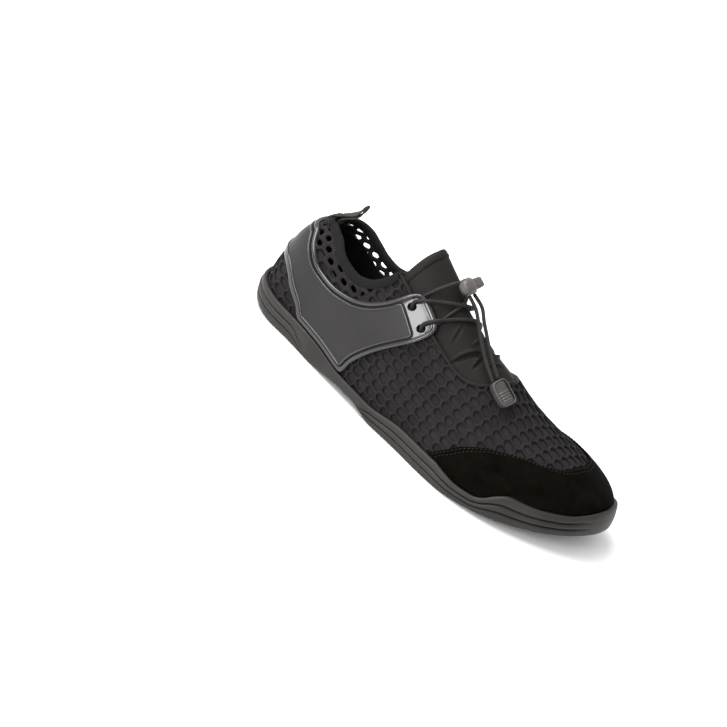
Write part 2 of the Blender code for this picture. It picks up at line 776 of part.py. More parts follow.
def main():
    for old in list(bpy.data.objects):
        bpy.data.objects.remove(old)
    parts = bpy.data.collections.new("water_shoe")
    cutters = bpy.data.collections.new("cutters")
    for collection in (parts, cutters):
        bpy.context.scene.collection.children.link(collection)
    build_sole(parts, cutters, material("sole_rubber", (0.085, 0.080, 0.078), 0.62))
    build_insole(parts, material("insole_foam", (0.020, 0.020, 0.021), 0.90))
    build_upper(parts, material("net_fabric", (0.030, 0.029, 0.032), 0.85))
    build_tongue(parts, material("stretch_fabric", (0.022, 0.021, 0.022), 0.80))
    build_cage(parts, cutters, material("cage_plastic", (0.080, 0.076, 0.080), 0.42))
    build_toe_cap(parts, material("cap_suede", (0.014, 0.012, 0.011), 0.95))
    build_pull_loop(parts, material("loop_webbing", (0.070, 0.068, 0.066), 0.85))
    lace_shade = material("lace_cord", (0.050, 0.048, 0.048), 0.70)
    clip_shade = material("clip_plastic", (0.120, 0.115, 0.110), 0.45)
    build_lace(parts, cutters, lace_shade)
    build_cord_lock(parts, cutters, material("lock_plastic", (0.110, 0.105, 0.100), 0.45))
    build_tails(parts, cutters, {"lace": lace_shade, "clip": clip_shade})
    shoe = bpy.data.objects.new("water_shoe_origin", None)
    parts.objects.link(shoe)
    for piece in parts.objects:
        if piece is not shoe:
            piece.parent = shoe


main()
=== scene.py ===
"""Water shoe, right foot: the looks of every piece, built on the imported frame.

Shapes are worked out in millimetres with the heel at x = 0, then placed in the shared frame in metres:
+X to the toe, +Y to the inner side of the foot, +Z up.
"""
import math

import bmesh
import bpy
import numpy as np
from mathutils import Matrix, Vector
from mathutils.geometry import delaunay_2d_cdt


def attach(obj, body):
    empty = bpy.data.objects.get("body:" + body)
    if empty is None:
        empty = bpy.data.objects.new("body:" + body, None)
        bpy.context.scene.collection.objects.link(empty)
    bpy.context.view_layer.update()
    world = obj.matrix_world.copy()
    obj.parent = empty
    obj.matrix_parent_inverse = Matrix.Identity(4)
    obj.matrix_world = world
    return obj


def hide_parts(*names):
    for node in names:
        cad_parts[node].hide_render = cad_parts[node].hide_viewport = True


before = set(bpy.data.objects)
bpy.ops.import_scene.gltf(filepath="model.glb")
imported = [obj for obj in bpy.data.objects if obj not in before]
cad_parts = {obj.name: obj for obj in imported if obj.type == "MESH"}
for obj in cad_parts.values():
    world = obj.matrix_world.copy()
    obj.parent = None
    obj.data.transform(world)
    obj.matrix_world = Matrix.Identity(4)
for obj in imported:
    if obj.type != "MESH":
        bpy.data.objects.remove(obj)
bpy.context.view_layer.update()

# Sizes of the shoe in millimetres, and shares of its length

MM = 0.001
GAP = 0.35
TINY = 1e-9

LENGTH = 285.0
RAND_WIDTH = 3.4
UPPER_INSET = RAND_WIDTH + 1
WALL = 2.2
HEEL_ROUND = 0.125
TOE_ROUND = 0.26
TOE_POWER = 2.2
TOE_DROP_START = 0.80
TOE_DROP_POWER = 2.3
HEEL_SHARE = 0.3
HEEL_LEAN = 12.0
LEAN_HEIGHT = 65.0
LEAN_POWER = 1.7
HEEL_HOLLOW = 2.0
HOLLOW_PACE = 1.6
TUCK_START, TUCK_SPAN, TUCK_MOST = 50.0, 25.0, 1.2
TUCK_AHEAD, TUCK_IN = 8.0, 8.0
TUCK_CORNER = {"grows_over": 0.05, "fades_over": 0.08, "ends": 0.18}
SPRING_START = 188.0
SPRING_LIFT = 14.0
SPRING_POWER = 1.7
SPRING_SHARE = 0.8
LATERAL, MEDIAL = -1.0, 1.0
SIDES = (LATERAL, MEDIAL)
NORMAL_STEP = 0.004
NEAR_ZERO = 1e-6

INSOLE_THICK = 2.5
TONGUE_THICK = 2.0
TONGUE_SINK = 0.95
CAP_STAND_OFF = 0.9
EYELET_RADIUS = 2.5
LACE_RADIUS = 1.2
TAB_LIFT = 4.3
LOOP_WIDTH = 9.4
LOOP_THICK = 1.2
HEEL_RADIUS = 22.0


def out_and_back(values):
    """Values on the outer side, then back on the inner one, with the last value once."""
    return [(value, LATERAL) for value in values] + [(value, MEDIAL) for value in values[-2::-1]]


def table(columns, rows):
    """A short table as a dictionary of named columns."""
    return {name: np.array(values, float) for name, values in zip(columns.split(), zip(*rows))}


def unit(vectors):
    """Vectors brought to length 1."""
    return vectors / np.maximum(np.linalg.norm(vectors, axis=-1, keepdims=True), TINY)


def run_along(points):
    """Length of a line up to each of its points."""
    return np.concatenate([[0], np.cumsum(np.linalg.norm(np.diff(points, axis=0), axis=1))])


def close_at_ends(count):
    """Numbers from 0 to 1 that lie closer together at both ends."""
    return (1 - np.cos(np.linspace(0, math.pi, count))) / 2


def close_at_start(count):
    """Numbers from 0 to 1 that lie closer together at 0."""
    return 1 - np.cos(np.linspace(0, math.pi / 2, count))


def close_at_last(count):
    """Numbers from 0 to 1 that lie closer together at 1."""
    return np.sin(np.linspace(0, math.pi / 2, count))


def ease(value, low, high):
    """Smooth step from 0 at low to 1 at high."""
    u = np.clip((np.asarray(value, float) - low) / (high - low), 0, 1)
    return u * u * (3 - 2 * u)


PLAN = table("share centre half_width", [
    (0.00, 0.0, 33.0),
    (0.08, -0.7, 32.8),
    (0.16, -1.9, 33.4),
    (0.26, -5.7, 34.6),
    (0.36, -10.0, 35.8),
    (0.46, -11.5, 38.3),
    (0.56, -9.2, 43.0),
    (0.65, -6.2, 49.0),
    (0.72, -3.4, 52.0),
    (0.80, 1.0, 52.0),
    (0.90, 7.5, 50.0),
    (1.00, 13.0, 47.0),
])
RIDGE = table("share height offset fullness", [
    (0.00, 119.0, 0.0, 1.85),
    (0.20, 119.0, 0.0, 1.85),
    (0.35, 107.0, 1.7, 1.80),
    (0.42, 97.5, 2.5, 1.70),
    (0.50, 86.5, 3.3, 1.65),
    (0.58, 76.0, 3.3, 1.65),
    (0.66, 67.0, 3.3, 1.70),
    (0.74, 56.0, 2.9, 1.80),
    (0.82, 47.0, 1.7, 1.95),
    (0.90, 42.0, 0.4, 2.05),
    (1.00, 39.0, 0.0, 2.15),
])
COLLAR = table("share lateral medial", [
    (0.000, 75.0, 75.0),
    (0.050, 75.0, 74.5),
    (0.110, 73.5, 72.5),
    (0.160, 70.0, 68.5),
    (0.200, 67.3, 65.0),
    (0.235, 66.5, 64.0),
    (0.270, 68.8, 66.0),
    (0.305, 76.5, 74.0),
    (0.325, 86.0, 85.0),
])
THROAT = table("share rise", [
    (0.325, 0.580),
    (0.420, 0.575),
    (0.550, 0.570),
    (0.590, 0.590),
    (0.620, 0.640),
    (0.645, 0.740),
    (0.660, 0.860),
    (0.667, 1.000),
])
FLOOR = table("share height", [
    (0.00, 8.0),
    (0.30, 8.0),
    (0.50, 7.5),
    (0.80, 7.0),
    (0.90, 8.0),
    (1.00, 13.0),
])
GROUND = table("share lateral medial", [
    (0.00, 6.5, 6.5),
    (0.04, 2.8, 2.8),
    (0.09, 0.6, 0.6),
    (0.13, 0.0, 0.0),
    (0.25, 0.0, 0.0),
    (0.31, 2.0, 0.0),
    (0.36, 4.0, 1.8),
    (0.41, 4.0, 4.0),
    (0.44, 2.2, 4.0),
    (0.48, 0.0, 3.6),
    (0.53, 0.0, 1.6),
    (0.57, 0.0, 0.0),
    (0.80, 0.0, 0.0),
    (0.90, 0.6, 0.6),
    (1.00, 3.2, 3.2),
])
RAND = table("share lateral medial", [
    (0.00, 17.6, 17.6),
    (0.10, 16.2, 16.2),
    (0.25, 14.2, 14.8),
    (0.35, 10.8, 12.2),
    (0.45, 10.4, 11.2),
    (0.55, 14.0, 13.0),
    (0.66, 14.2, 13.6),
    (0.69, 12.6, 13.5),
    (0.735, 9.9, 13.2),
    (0.772, 9.3, 13.2),
    (0.792, 11.0, 13.6),
    (0.815, 15.4, 14.2),
    (0.838, 17.7, 14.5),
    (0.865, 16.5, 14.4),
    (0.90, 15.2, 14.4),
    (0.945, 15.0, 15.6),
    (1.00, 18.6, 18.6),
])
CAGE_LOW = table("share lateral medial", [
    (0.000, 39.0, 39.0),
    (0.035, 38.5, 38.5),
    (0.065, 36.5, 36.5),
    (0.112, 27.8, 29.0),
    (0.154, 20.0, 22.0),
    (0.182, 0.0, 0.0),
    (0.340, 0.0, 0.0),
    (0.352, 20.0, 20.0),
    (0.370, 30.0, 29.0),
    (0.388, 37.5, 36.5),
    (0.404, 43.0, 42.0),
    (0.432, 51.7, 51.0),
    (0.460, 60.3, 60.0),
    (0.471, 65.0, 65.0),
    (0.478, 69.5, 69.5),
])
CAGE_HIGH = table("share lateral medial", [
    (0.000, 68.1, 68.1),
    (0.035, 67.4, 67.4),
    (0.089, 60.2, 59.4),
    (0.146, 53.0, 52.0),
    (0.198, 51.2, 50.5),
    (0.258, 53.8, 53.2),
    (0.303, 59.0, 58.5),
    (0.335, 65.8, 65.2),
    (0.354, 71.2, 70.7),
    (0.372, 78.0, 77.5),
    (0.386, 82.2, 81.7),
    (0.400, 84.0, 83.5),
    (0.412, 83.2, 82.7),
    (0.440, 79.7, 79.2),
    (0.470, 74.5, 74.2),
    (0.478, 72.0, 71.8),
])
CAP_SEAM = table("climb share", [
    (0.00, 0.640),
    (0.05, 0.652),
    (0.10, 0.665),
    (0.24, 0.700),
    (0.35, 0.744),
    (0.46, 0.800),
    (0.55, 0.866),
    (0.68, 0.900),
    (1.00, 0.918),
])
TONGUE_SIDE = table("share rise", [
    (0.320, 0.500),
    (0.450, 0.475),
    (0.560, 0.470),
    (0.620, 0.530),
    (0.700, 0.700),
])
TONGUE_TOP, TONGUE_TOP_DROP, TONGUE_END = 0.358, 0.030, 0.700
EYELETS = table("share height", [
    (0.400, 74.7),
    (0.448, 67.6),
])


def read(columns, name, share):
    """Smooth value of one column, with no overshoot between the rows; the seam's shares go by climb."""
    x = columns["climb"] if name == "share" else columns["share"]
    y = columns[name]
    step = np.diff(x)
    slope = np.diff(y) / step
    tangent = np.zeros(len(x))
    tangent[0] = slope[0]
    tangent[-1] = slope[-1]
    for row in range(1, len(x) - 1):
        if slope[row - 1] * slope[row] > 0:
            before = 2 * step[row] + step[row - 1]
            after = step[row] + 2 * step[row - 1]
            tangent[row] = (before + after) / (before / slope[row - 1] + after / slope[row])
    share = np.clip(np.asarray(share, float), x[0], x[-1])
    row = np.clip(np.searchsorted(x, share) - 1, 0, len(step) - 1)
    u = (share - x[row]) / step[row]
    low = (1 + 2 * u) * (1 - u) ** 2 * y[row] + u * (1 - u) ** 2 * step[row] * tangent[row]
    high = u * u * (3 - 2 * u) * y[row + 1] + u * u * (u - 1) * step[row] * tangent[row + 1]
    return low + high


def by_side(columns, share, side):
    """A column that differs between the outer and the inner side of the foot."""
    return read(columns, "lateral" if side < 0 else "medial", share)


def end_round(share):
    """Share of the full half width left as the plan closes round the heel and the toe."""
    heel = np.clip(1 - share / HEEL_ROUND, 0, 1)
    toe = np.clip((share - 1 + TOE_ROUND) / TOE_ROUND, 0, 1)
    return np.sqrt(1 - heel ** 2) * (1 - toe ** TOE_POWER) ** (1 / TOE_POWER)


def toe_spring(points):
    """The toe part turned up off the ground, with the wall following the slope."""
    points = np.array(points, float)
    ahead = np.clip((points[..., 0] - SPRING_START) / (LENGTH - SPRING_START), 0, None)
    slope = SPRING_LIFT * SPRING_POWER * ahead ** (SPRING_POWER - 1) / (LENGTH - SPRING_START)
    points[..., 0] -= slope * (points[..., 2] - read(FLOOR, "height", SPRING_SHARE))
    points[..., 2] += SPRING_LIFT * ahead ** SPRING_POWER
    return points


def outline(share, side, inset):
    """Plan of the sole, moved in by a distance."""
    share = np.asarray(share, float)
    half = (read(PLAN, "half_width", share) - inset) * end_round(share)
    return inset + share * (LENGTH - 2 * inset), read(PLAN, "centre", share) + side * half


def upper_x(share):
    """Place along the shoe of a share of the upper, which stands inside the rand."""
    return UPPER_INSET + share * (LENGTH - 2 * UPPER_INSET)


def rand_top(share, side):
    """Height of the rand beside a share of the upper."""
    return by_side(RAND, upper_x(share) / LENGTH, side)


def section(share):
    """The last's section at a station: middle, half width, floor, ridge place and height, fullness."""
    rounding = end_round(share)
    x = upper_x(share)
    floor = read(FLOOR, "height", x / LENGTH)
    drop = np.clip((share - TOE_DROP_START) / (1 - TOE_DROP_START), 0, 1)
    left = (1 - drop ** TOE_DROP_POWER) ** (1 / TOE_DROP_POWER)
    middle = read(PLAN, "centre", share)
    return {
        "x": x,
        "middle": middle,
        "half": (read(PLAN, "half_width", share) - RAND_WIDTH) * rounding,
        "floor": floor,
        "ridge": floor + (read(RIDGE, "height", share) - floor) * left,
        "ridge_y": middle + read(RIDGE, "offset", share) * rounding,
        "fullness": read(RIDGE, "fullness", share),
    }


def wall_flat(share, side, rise):
    """Outer face of the upper before the toe spring: rise is 0 at the sole's floor and 1 on the ridge."""
    share, rise = np.broadcast_arrays(np.asarray(share, float), np.asarray(rise, float))
    cut = section(share)
    angle = np.clip(rise, 0, 1) * math.pi / 2
    power = 2 / cut["fullness"]
    y = cut["ridge_y"] + (cut["middle"] + side * cut["half"] - cut["ridge_y"]) * np.cos(angle) ** power
    z = cut["floor"] + (cut["ridge"] - cut["floor"]) * np.sin(angle) ** power
    back = np.clip(1 - share / HEEL_SHARE, 0, 1) ** 2
    climb = np.clip((z - cut["floor"]) / LEAN_HEIGHT, 0, 2)
    hollow = HEEL_HOLLOW * np.sin(math.pi * np.clip(climb * HOLLOW_PACE, 0, 1))
    tuck = np.clip((z - TUCK_START) / TUCK_SPAN, 0, TUCK_MOST) ** 2
    x = cut["x"] + back * (HEEL_LEAN * climb ** LEAN_POWER - hollow + TUCK_AHEAD * tuck)
    if side < 0:
        grown = share / TUCK_CORNER["grows_over"]
        left = (TUCK_CORNER["ends"] - share) / TUCK_CORNER["fades_over"]
        corner = np.clip(np.minimum(grown, left), 0, 1)
        y = y + TUCK_IN * tuck * corner * corner * (3 - 2 * corner)
    return np.stack([x, y, z], -1)


def wall(share, side, rise, off=0.0):
    """Point on the upper's outer face, moved out along its normal."""
    share, rise = np.broadcast_arrays(np.asarray(share, float), np.asarray(rise, float))
    ahead = wall_flat(np.minimum(share + NORMAL_STEP, 1), side, rise)
    behind = wall_flat(np.maximum(share - NORMAL_STEP, 0), side, rise)
    above = wall_flat(share, side, np.minimum(rise + NORMAL_STEP, 1))
    below = wall_flat(share, side, np.maximum(rise - NORMAL_STEP, 0))
    normal = unit(np.cross(ahead - behind, above - below) * -side)
    heel = np.expand_dims(share < NEAR_ZERO, -1)
    normal = np.where(heel, normal * np.array([1.0, 0.0, 1.0]), normal)
    return toe_spring(wall_flat(share, side, rise) + normal * np.asarray(off, float)[..., None])


def rise_at(share, height):
    """The rise at which the wall reaches a height."""
    cut = section(np.asarray(share, float))
    up = np.clip((height - cut["floor"]) / np.maximum(cut["ridge"] - cut["floor"], NEAR_ZERO), 0, 1)
    return np.arcsin(up ** (cut["fullness"] / 2)) * 2 / math.pi


def across(share, spread, off):
    """Point over the throat: spread runs from -1 (outer side, at the floor) over 0 (ridge) to 1."""
    share, spread = np.broadcast_arrays(np.asarray(share, float), np.asarray(spread, float))
    outer = wall(share, LATERAL, 1 - np.abs(spread), off)
    inner = wall(share, MEDIAL, 1 - np.abs(spread), off)
    return np.where((spread <= 0)[..., None], outer, inner)


def upper_top(share, side):
    """Rise of the upper's top edge: the collar, then the throat, then the closed ridge."""
    if share < COLLAR["share"][-1]:
        return float(rise_at(share, by_side(COLLAR, share, side)))
    if share < THROAT["share"][-1]:
        return float(read(THROAT, "rise", share))
    return 1.0


def shoe_middle():
    """Middle of the shoe's box, seen from above."""
    share = np.linspace(0, 1, 400)
    low = outline(share, LATERAL, 0)[1].min()
    high = outline(share, MEDIAL, 0)[1].max()
    return np.array([LENGTH / 2, (low + high) / 2, 0.0])


MIDDLE = shoe_middle()


# Making pieces

CORD_START = (0.31, 0.17, 0.93)
CORD_END = {"out": 0.45, "round": 0.62, "run": 0.5}
ROUTE_STEPS = 24
AHEAD_STEP, ASIDE_STEP = 0.01, 0.02
FLAT_EDGE = 1e-7


def placed(points):
    """Shoe points in millimetres, brought to the shared frame in metres."""
    return (np.asarray(points, float) - MIDDLE) * MM


def grid(rows, cols, ring=False):
    """Faces of a net of points that runs row by row; a ring closes each row on itself."""
    faces = []
    for row in range(rows - 1):
        for col in range(cols if ring else cols - 1):
            here, beside = row * cols + col, row * cols + (col + 1) % cols
            faces.append((here, beside, beside + cols, here + cols))
    return faces


class Shape:
    """Points, faces and cloth coordinates in millimetres, gathered before a piece is made."""

    def __init__(self):
        self.points = np.zeros((0, 3))
        self.cloth = np.zeros((0, 2))
        self.faces = []

    def add(self, points, faces, cloth=None):
        base = len(self.points)
        points = np.asarray(points, float).reshape(-1, 3)
        cloth = np.zeros((len(points), 2)) if cloth is None else np.asarray(cloth, float).reshape(-1, 2)
        self.points = np.vstack([self.points, points])
        self.cloth = np.vstack([self.cloth, cloth])
        self.faces += [tuple(base + corner for corner in face) for face in faces]
        return self

    def add_slab(self, front, back, cloth=None):
        """Closed piece between two nets of points."""
        rows, cols = front.shape[:2]
        count = rows * cols
        faces = grid(rows, cols)
        faces += [tuple(count + corner for corner in face[::-1]) for face in grid(rows, cols)]
        edge = [col for col in range(cols)] + [row * cols + cols - 1 for row in range(1, rows)]
        edge += [count - 1 - col for col in range(1, cols)] + [row * cols for row in range(rows - 2, 0, -1)]
        for here, after in zip(edge, edge[1:] + edge[:1]):
            faces.append((after, here, count + here, count + after))
        both = None if cloth is None else np.vstack([cloth.reshape(-1, 2)] * 2)
        return self.add(np.vstack([front.reshape(-1, 3), back.reshape(-1, 3)]), faces, both)

    def add_tube(self, rows, cloth=None, closed=False):
        """Rings of points joined into a tube, which gets flat ends or closes on itself."""
        count, sides = rows.shape[:2]
        faces = grid(count, sides, ring=True)
        last = (count - 1) * sides
        if closed:
            for side in range(sides):
                after = (side + 1) % sides
                faces.append((last + side, last + after, after, side))
        else:
            faces += [tuple(range(sides))[::-1], tuple(range(last, count * sides))]
        return self.add(rows, faces, cloth)

    def add_band(self, path, up, out, profile, closed=False):
        """Profile of (up, out) points swept along a path; an open band gets flat ends."""
        path, up, out, profile = (np.asarray(item, float) for item in (path, up, out, profile))
        rows = path[:, None] + up[:, None] * profile[None, :, :1] + out[:, None] * profile[None, :, 1:]
        cloth = np.stack(np.broadcast_arrays(run_along(path)[:, None], run_along(profile)[None, :]), -1)
        return self.add_tube(rows, cloth, closed)

    def add_cord(self, path, radius, sides=10):
        """Round cord along a path, with rounded ends."""
        path = np.asarray(path, float)
        along = unit(np.gradient(path, axis=0))
        up = np.cross(along[0], CORD_START)
        ups = []
        for step in along:
            up = unit(up - step * np.dot(up, step))
            ups.append(up)
        ups = np.array(ups)
        aside = np.cross(along, ups)
        turn = np.linspace(0, 2 * math.pi, sides, endpoint=False)
        ring = np.cos(turn)[None, :, None] * ups[:, None] + np.sin(turn)[None, :, None] * aside[:, None]
        end, end_radius = along * radius * CORD_END["out"], radius * CORD_END["round"]
        first = path[0] - end[0] + ring[0] * end_radius
        last = path[-1] + end[-1] + ring[-1] * end_radius
        rows = np.concatenate([first[None], path[:, None] + ring * radius, last[None]])
        run = run_along(path)
        run = np.concatenate([[run[0] - CORD_END["run"]], run, [run[-1] + CORD_END["run"]]])
        girth = np.arange(sides) / sides * 2 * math.pi * radius
        return self.add_tube(rows, np.stack(np.broadcast_arrays(run[:, None], girth[None, :]), -1))

    def make(self, name, finish, weld=0.0, flat_over=None):
        """The finished mesh object, with its doubles merged and its faces turned outwards."""
        mesh = bpy.data.meshes.new(name)
        mesh.from_pydata(placed(self.points).tolist(), [], self.faces)
        corners = np.empty(len(mesh.loops), np.int32)
        mesh.loops.foreach_get("vertex_index", corners)
        cloth = self.cloth[corners].astype(np.float32)
        mesh.uv_layers.new(name="cloth").data.foreach_set("uv", cloth.ravel())
        clean = bmesh.new()
        clean.from_mesh(mesh)
        if weld:
            bmesh.ops.remove_doubles(clean, verts=clean.verts, dist=weld * MM)
            bmesh.ops.dissolve_degenerate(clean, edges=clean.edges, dist=FLAT_EDGE)
        bmesh.ops.recalc_face_normals(clean, faces=clean.faces)
        clean.to_mesh(mesh)
        clean.free()
        mesh.shade_smooth()
        if flat_over is not None:
            mesh.set_sharp_from_angle(angle=math.radians(flat_over))
        return new_piece(name, mesh, finish)


def new_piece(name, mesh, finish):
    """Object in the scene for a mesh and its finish."""
    piece = bpy.data.objects.new(name, mesh)
    mesh.materials.append(finish)
    bpy.context.collection.objects.link(piece)
    return piece


def smooth_path(points, count):
    """Evenly spaced points on a smooth curve through a route."""
    points = np.array(points, float)
    padded = np.vstack([2 * points[0] - points[1], points, 2 * points[-1] - points[-2]])
    dense = []
    for leg in range(len(points) - 1):
        a, b, c, d = padded[leg:leg + 4]
        for u in np.linspace(0, 1, ROUTE_STEPS, endpoint=False):
            dense.append(0.5 * (2 * b + (c - a) * u + (2 * a - 5 * b + 4 * c - d) * u ** 2
                                + (3 * b - a - 3 * c + d) * u ** 3))
    return even_path(np.vstack([dense, points[-1]]), count)


def even_path(points, count):
    """Points spread evenly along a line."""
    points = np.asarray(points, float)
    run = run_along(points)
    even = np.linspace(0, run[-1], count)
    return np.stack([np.interp(even, run, points[:, axis]) for axis in range(points.shape[1])], -1)


def length_of(path):
    """Length of a whole line."""
    return float(run_along(path)[-1])


def frame_on(share, spread, off):
    """Origin and directions on the throat: along the shoe, across it, and out of the surface."""
    origin = across(share, spread, off)
    ahead = across(share + AHEAD_STEP, spread, off) - origin
    aside = across(share, spread + ASIDE_STEP, off) - across(share, spread - ASIDE_STEP, off)
    up = unit(np.cross(ahead, aside))
    ahead = unit(ahead)
    return origin, ahead, np.cross(up, ahead), up


def finish_mesh(piece):
    """The modifiers of a piece, made part of its mesh."""
    bpy.context.view_layer.update()
    solid = piece.evaluated_get(bpy.context.evaluated_depsgraph_get())
    mesh = bpy.data.meshes.new_from_object(solid)
    piece.modifiers.clear()
    piece.data = mesh


def hand_over(piece, slot, *nodes):
    """The piece rides on the shoe and hides the CAD nodes it stands for; slot is not used."""
    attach(piece, "root")
    if nodes:
        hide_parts(*nodes)
    return piece


# Finishes

CLOTH_SHEEN = {"Sheen Weight": 0.02, "Sheen Roughness": 0.5}
CLOTH_GLOSS = 0.08


def new_finish(name, colour, roughness, sockets=None):
    """Material with a plain shader: its tree, its shader and itself."""
    material = bpy.data.materials.new(name)
    material.use_nodes = True
    shader = material.node_tree.nodes["Principled BSDF"]
    shader.inputs["Base Color"].default_value = (*colour, 1.0)
    shader.inputs["Roughness"].default_value = roughness
    for label, value in (sockets or {}).items():
        shader.inputs[label].default_value = value
    return material.node_tree, shader, material


def add(tree, kind, inputs, **settings):
    """Shader node with its settings, values and links."""
    made = tree.nodes.new("ShaderNode" + kind)
    for label, value in settings.items():
        setattr(made, label, value)
    for label, value in inputs.items():
        if isinstance(value, bpy.types.NodeSocket):
            tree.links.new(value, made.inputs[label])
        else:
            made.inputs[label].default_value = value
    return made


def object_mm(tree, stretch=(1.0, 1.0, 1.0)):
    """Place on the shoe in millimetres."""
    where = add(tree, "TexCoord", {}).outputs["Object"]
    scale = tuple(part / MM for part in stretch)
    return add(tree, "Mapping", {"Vector": where, "Scale": scale}).outputs["Vector"]


def cloth_mm(tree, turn=0.0):
    """Place on the cloth in millimetres, turned in its plane."""
    where = add(tree, "TexCoord", {}).outputs["UV"]
    turned = (0.0, 0.0, math.radians(turn))
    return add(tree, "Mapping", {"Vector": where, "Rotation": turned}).outputs["Vector"]


def sum_of(tree, first, second, kind="ADD"):
    """Two values added, or joined by another kind of sum."""
    return add(tree, "Math", {0: first, 1: second}, operation=kind).outputs[0]


def bands(tree, where, pitch, direction="X"):
    """Round ribs at a pitch in millimetres, from 0 to 1."""
    wave = add(tree, "TexWave", {"Vector": where, "Scale": math.pi / 10 / pitch}, bands_direction=direction)
    return wave.outputs["Fac"]


def speckle(tree, where, size, detail=2.0, roughness=0.5):
    """Soft noise whose lumps have a size in millimetres."""
    inputs = {"Vector": where, "Scale": 1.0 / size, "Detail": detail, "Roughness": roughness}
    return add(tree, "TexNoise", inputs).outputs["Fac"]


def ranged(tree, value, low, high, start=0.3, end=0.7):
    """Value brought from one range to another."""
    inputs = {"Value": value, "From Min": start, "From Max": end, "To Min": low, "To Max": high}
    return add(tree, "MapRange", inputs).outputs["Result"]


def set_colour(tree, shader, value, dark, light, start=0.3, end=0.7):
    """Base colour between two tones."""
    share = ranged(tree, value, 0.0, 1.0, start, end)
    mix = add(tree, "Mix", {0: share, 6: (*dark, 1.0), 7: (*light, 1.0)}, data_type="RGBA")
    tree.links.new(mix.outputs[2], shader.inputs["Base Color"])


def set_roughness(tree, shader, value, low, high):
    """Roughness between two values."""
    tree.links.new(ranged(tree, value, low, high), shader.inputs["Roughness"])


def set_bump(tree, shader, height, strength, depth):
    """Relief whose full height is a depth in millimetres."""
    made = add(tree, "Bump", {"Height": height, "Strength": strength, "Distance": depth * MM})
    tree.links.new(made.outputs["Normal"], shader.inputs["Normal"])


def sole_rubber():
    """Moulded rubber: matte, finely grained, a little paler where it is rubbed."""
    gloss = {"Specular IOR Level": 0.3}
    tree, shader, rubber = new_finish("sole_rubber", (0.026, 0.0232, 0.0213), 0.55, gloss)
    where = object_mm(tree)
    rubbed = speckle(tree, where, 22.0, 4.0)
    grain = speckle(tree, where, 0.7, 3.0)
    set_colour(tree, shader, rubbed, (0.0132, 0.0116, 0.0104), (0.0228, 0.0200, 0.0180))
    set_roughness(tree, shader, grain, 0.42, 0.60)
    set_bump(tree, shader, grain, 0.35, 0.12)
    return rubber


def net_yarn():
    """Puffy yarn of the net, ribbed by its stitches."""
    gloss = {**CLOTH_SHEEN, "Specular IOR Level": CLOTH_GLOSS}
    tree, shader, yarn = new_finish("net_yarn", (0.018, 0.0160, 0.0166), 0.85, gloss)
    ribs = bands(tree, cloth_mm(tree, 38.0), 0.62)
    fuzz = speckle(tree, cloth_mm(tree), 0.45, 2.0)
    shade = speckle(tree, cloth_mm(tree), 5.0, 3.0)
    set_colour(tree, shader, shade, (0.0112, 0.0099, 0.0103), (0.0195, 0.0173, 0.0180))
    set_roughness(tree, shader, fuzz, 0.75, 0.95)
    set_bump(tree, shader, sum_of(tree, ribs, fuzz), 0.5, 0.16)
    return yarn


def woven(name, dark, light, pitch, depth, turn=0.0, roughness=(0.75, 0.92)):
    """Cloth with crossing yarns at a pitch in millimetres."""
    gloss = {**CLOTH_SHEEN, "Specular IOR Level": CLOTH_GLOSS}
    tree, shader, cloth = new_finish(name, light, roughness[1], gloss)
    where = cloth_mm(tree, turn)
    yarns = sum_of(tree, bands(tree, where, pitch), bands(tree, where, pitch, "Y"), "MULTIPLY")
    fuzz = speckle(tree, where, pitch * 0.6, 2.0)
    patches = speckle(tree, where, 14.0, 3.0)
    set_colour(tree, shader, patches, dark, light)
    set_roughness(tree, shader, fuzz, *roughness)
    set_bump(tree, shader, sum_of(tree, yarns, fuzz), 0.5, depth)
    return cloth


def ribbed(name, dark, light, pitch, depth, turn=0.0, gloss=CLOTH_GLOSS, roughness=(0.65, 0.90)):
    """Knit or braid whose ribs run one way."""
    tree, shader, knit = new_finish(name, light, roughness[1], {**CLOTH_SHEEN, "Specular IOR Level": gloss})
    ribs = bands(tree, cloth_mm(tree, turn), pitch)
    fuzz = speckle(tree, cloth_mm(tree), pitch * 0.7, 2.0)
    set_colour(tree, shader, sum_of(tree, ribs, fuzz, "MULTIPLY"), dark, light, 0.1, 0.6)
    set_roughness(tree, shader, fuzz, *roughness)
    set_bump(tree, shader, sum_of(tree, ribs, fuzz), 0.6, depth)
    return knit


def lace_braid():
    """Round elastic cord with a fine crossing braid."""
    gloss = {"Sheen Weight": 0.03, "Specular IOR Level": 0.25}
    tree, shader, braid = new_finish("lace_braid", (0.018, 0.0160, 0.0152), 0.7, gloss)
    left = bands(tree, cloth_mm(tree, 32.0), 0.75)
    right = bands(tree, cloth_mm(tree, -32.0), 0.75)
    cross = sum_of(tree, left, right, "MULTIPLY")
    set_colour(tree, shader, cross, (0.0055, 0.0048, 0.0045), (0.0235, 0.0207, 0.0194), 0.0, 0.8)
    set_roughness(tree, shader, cross, 0.5, 0.8)
    set_bump(tree, shader, cross, 0.6, 0.15)
    return braid


def moulded(name, dark, light, roughness, grain_size, grain_depth, gloss, coat=0.0):
    """Moulded plastic with a fine even grain and faint handling marks."""
    shine = {"Specular IOR Level": gloss, "Coat Weight": coat, "Coat Roughness": 0.18}
    tree, shader, plastic = new_finish(name, light, roughness[0], shine)
    where = object_mm(tree)
    grain = speckle(tree, where, grain_size, 2.0)
    marks = speckle(tree, where, 17.0, 4.0, 0.6)
    set_colour(tree, shader, marks, dark, light)
    set_roughness(tree, shader, marks, *roughness)
    set_bump(tree, shader, grain, 0.4, grain_depth)
    return plastic


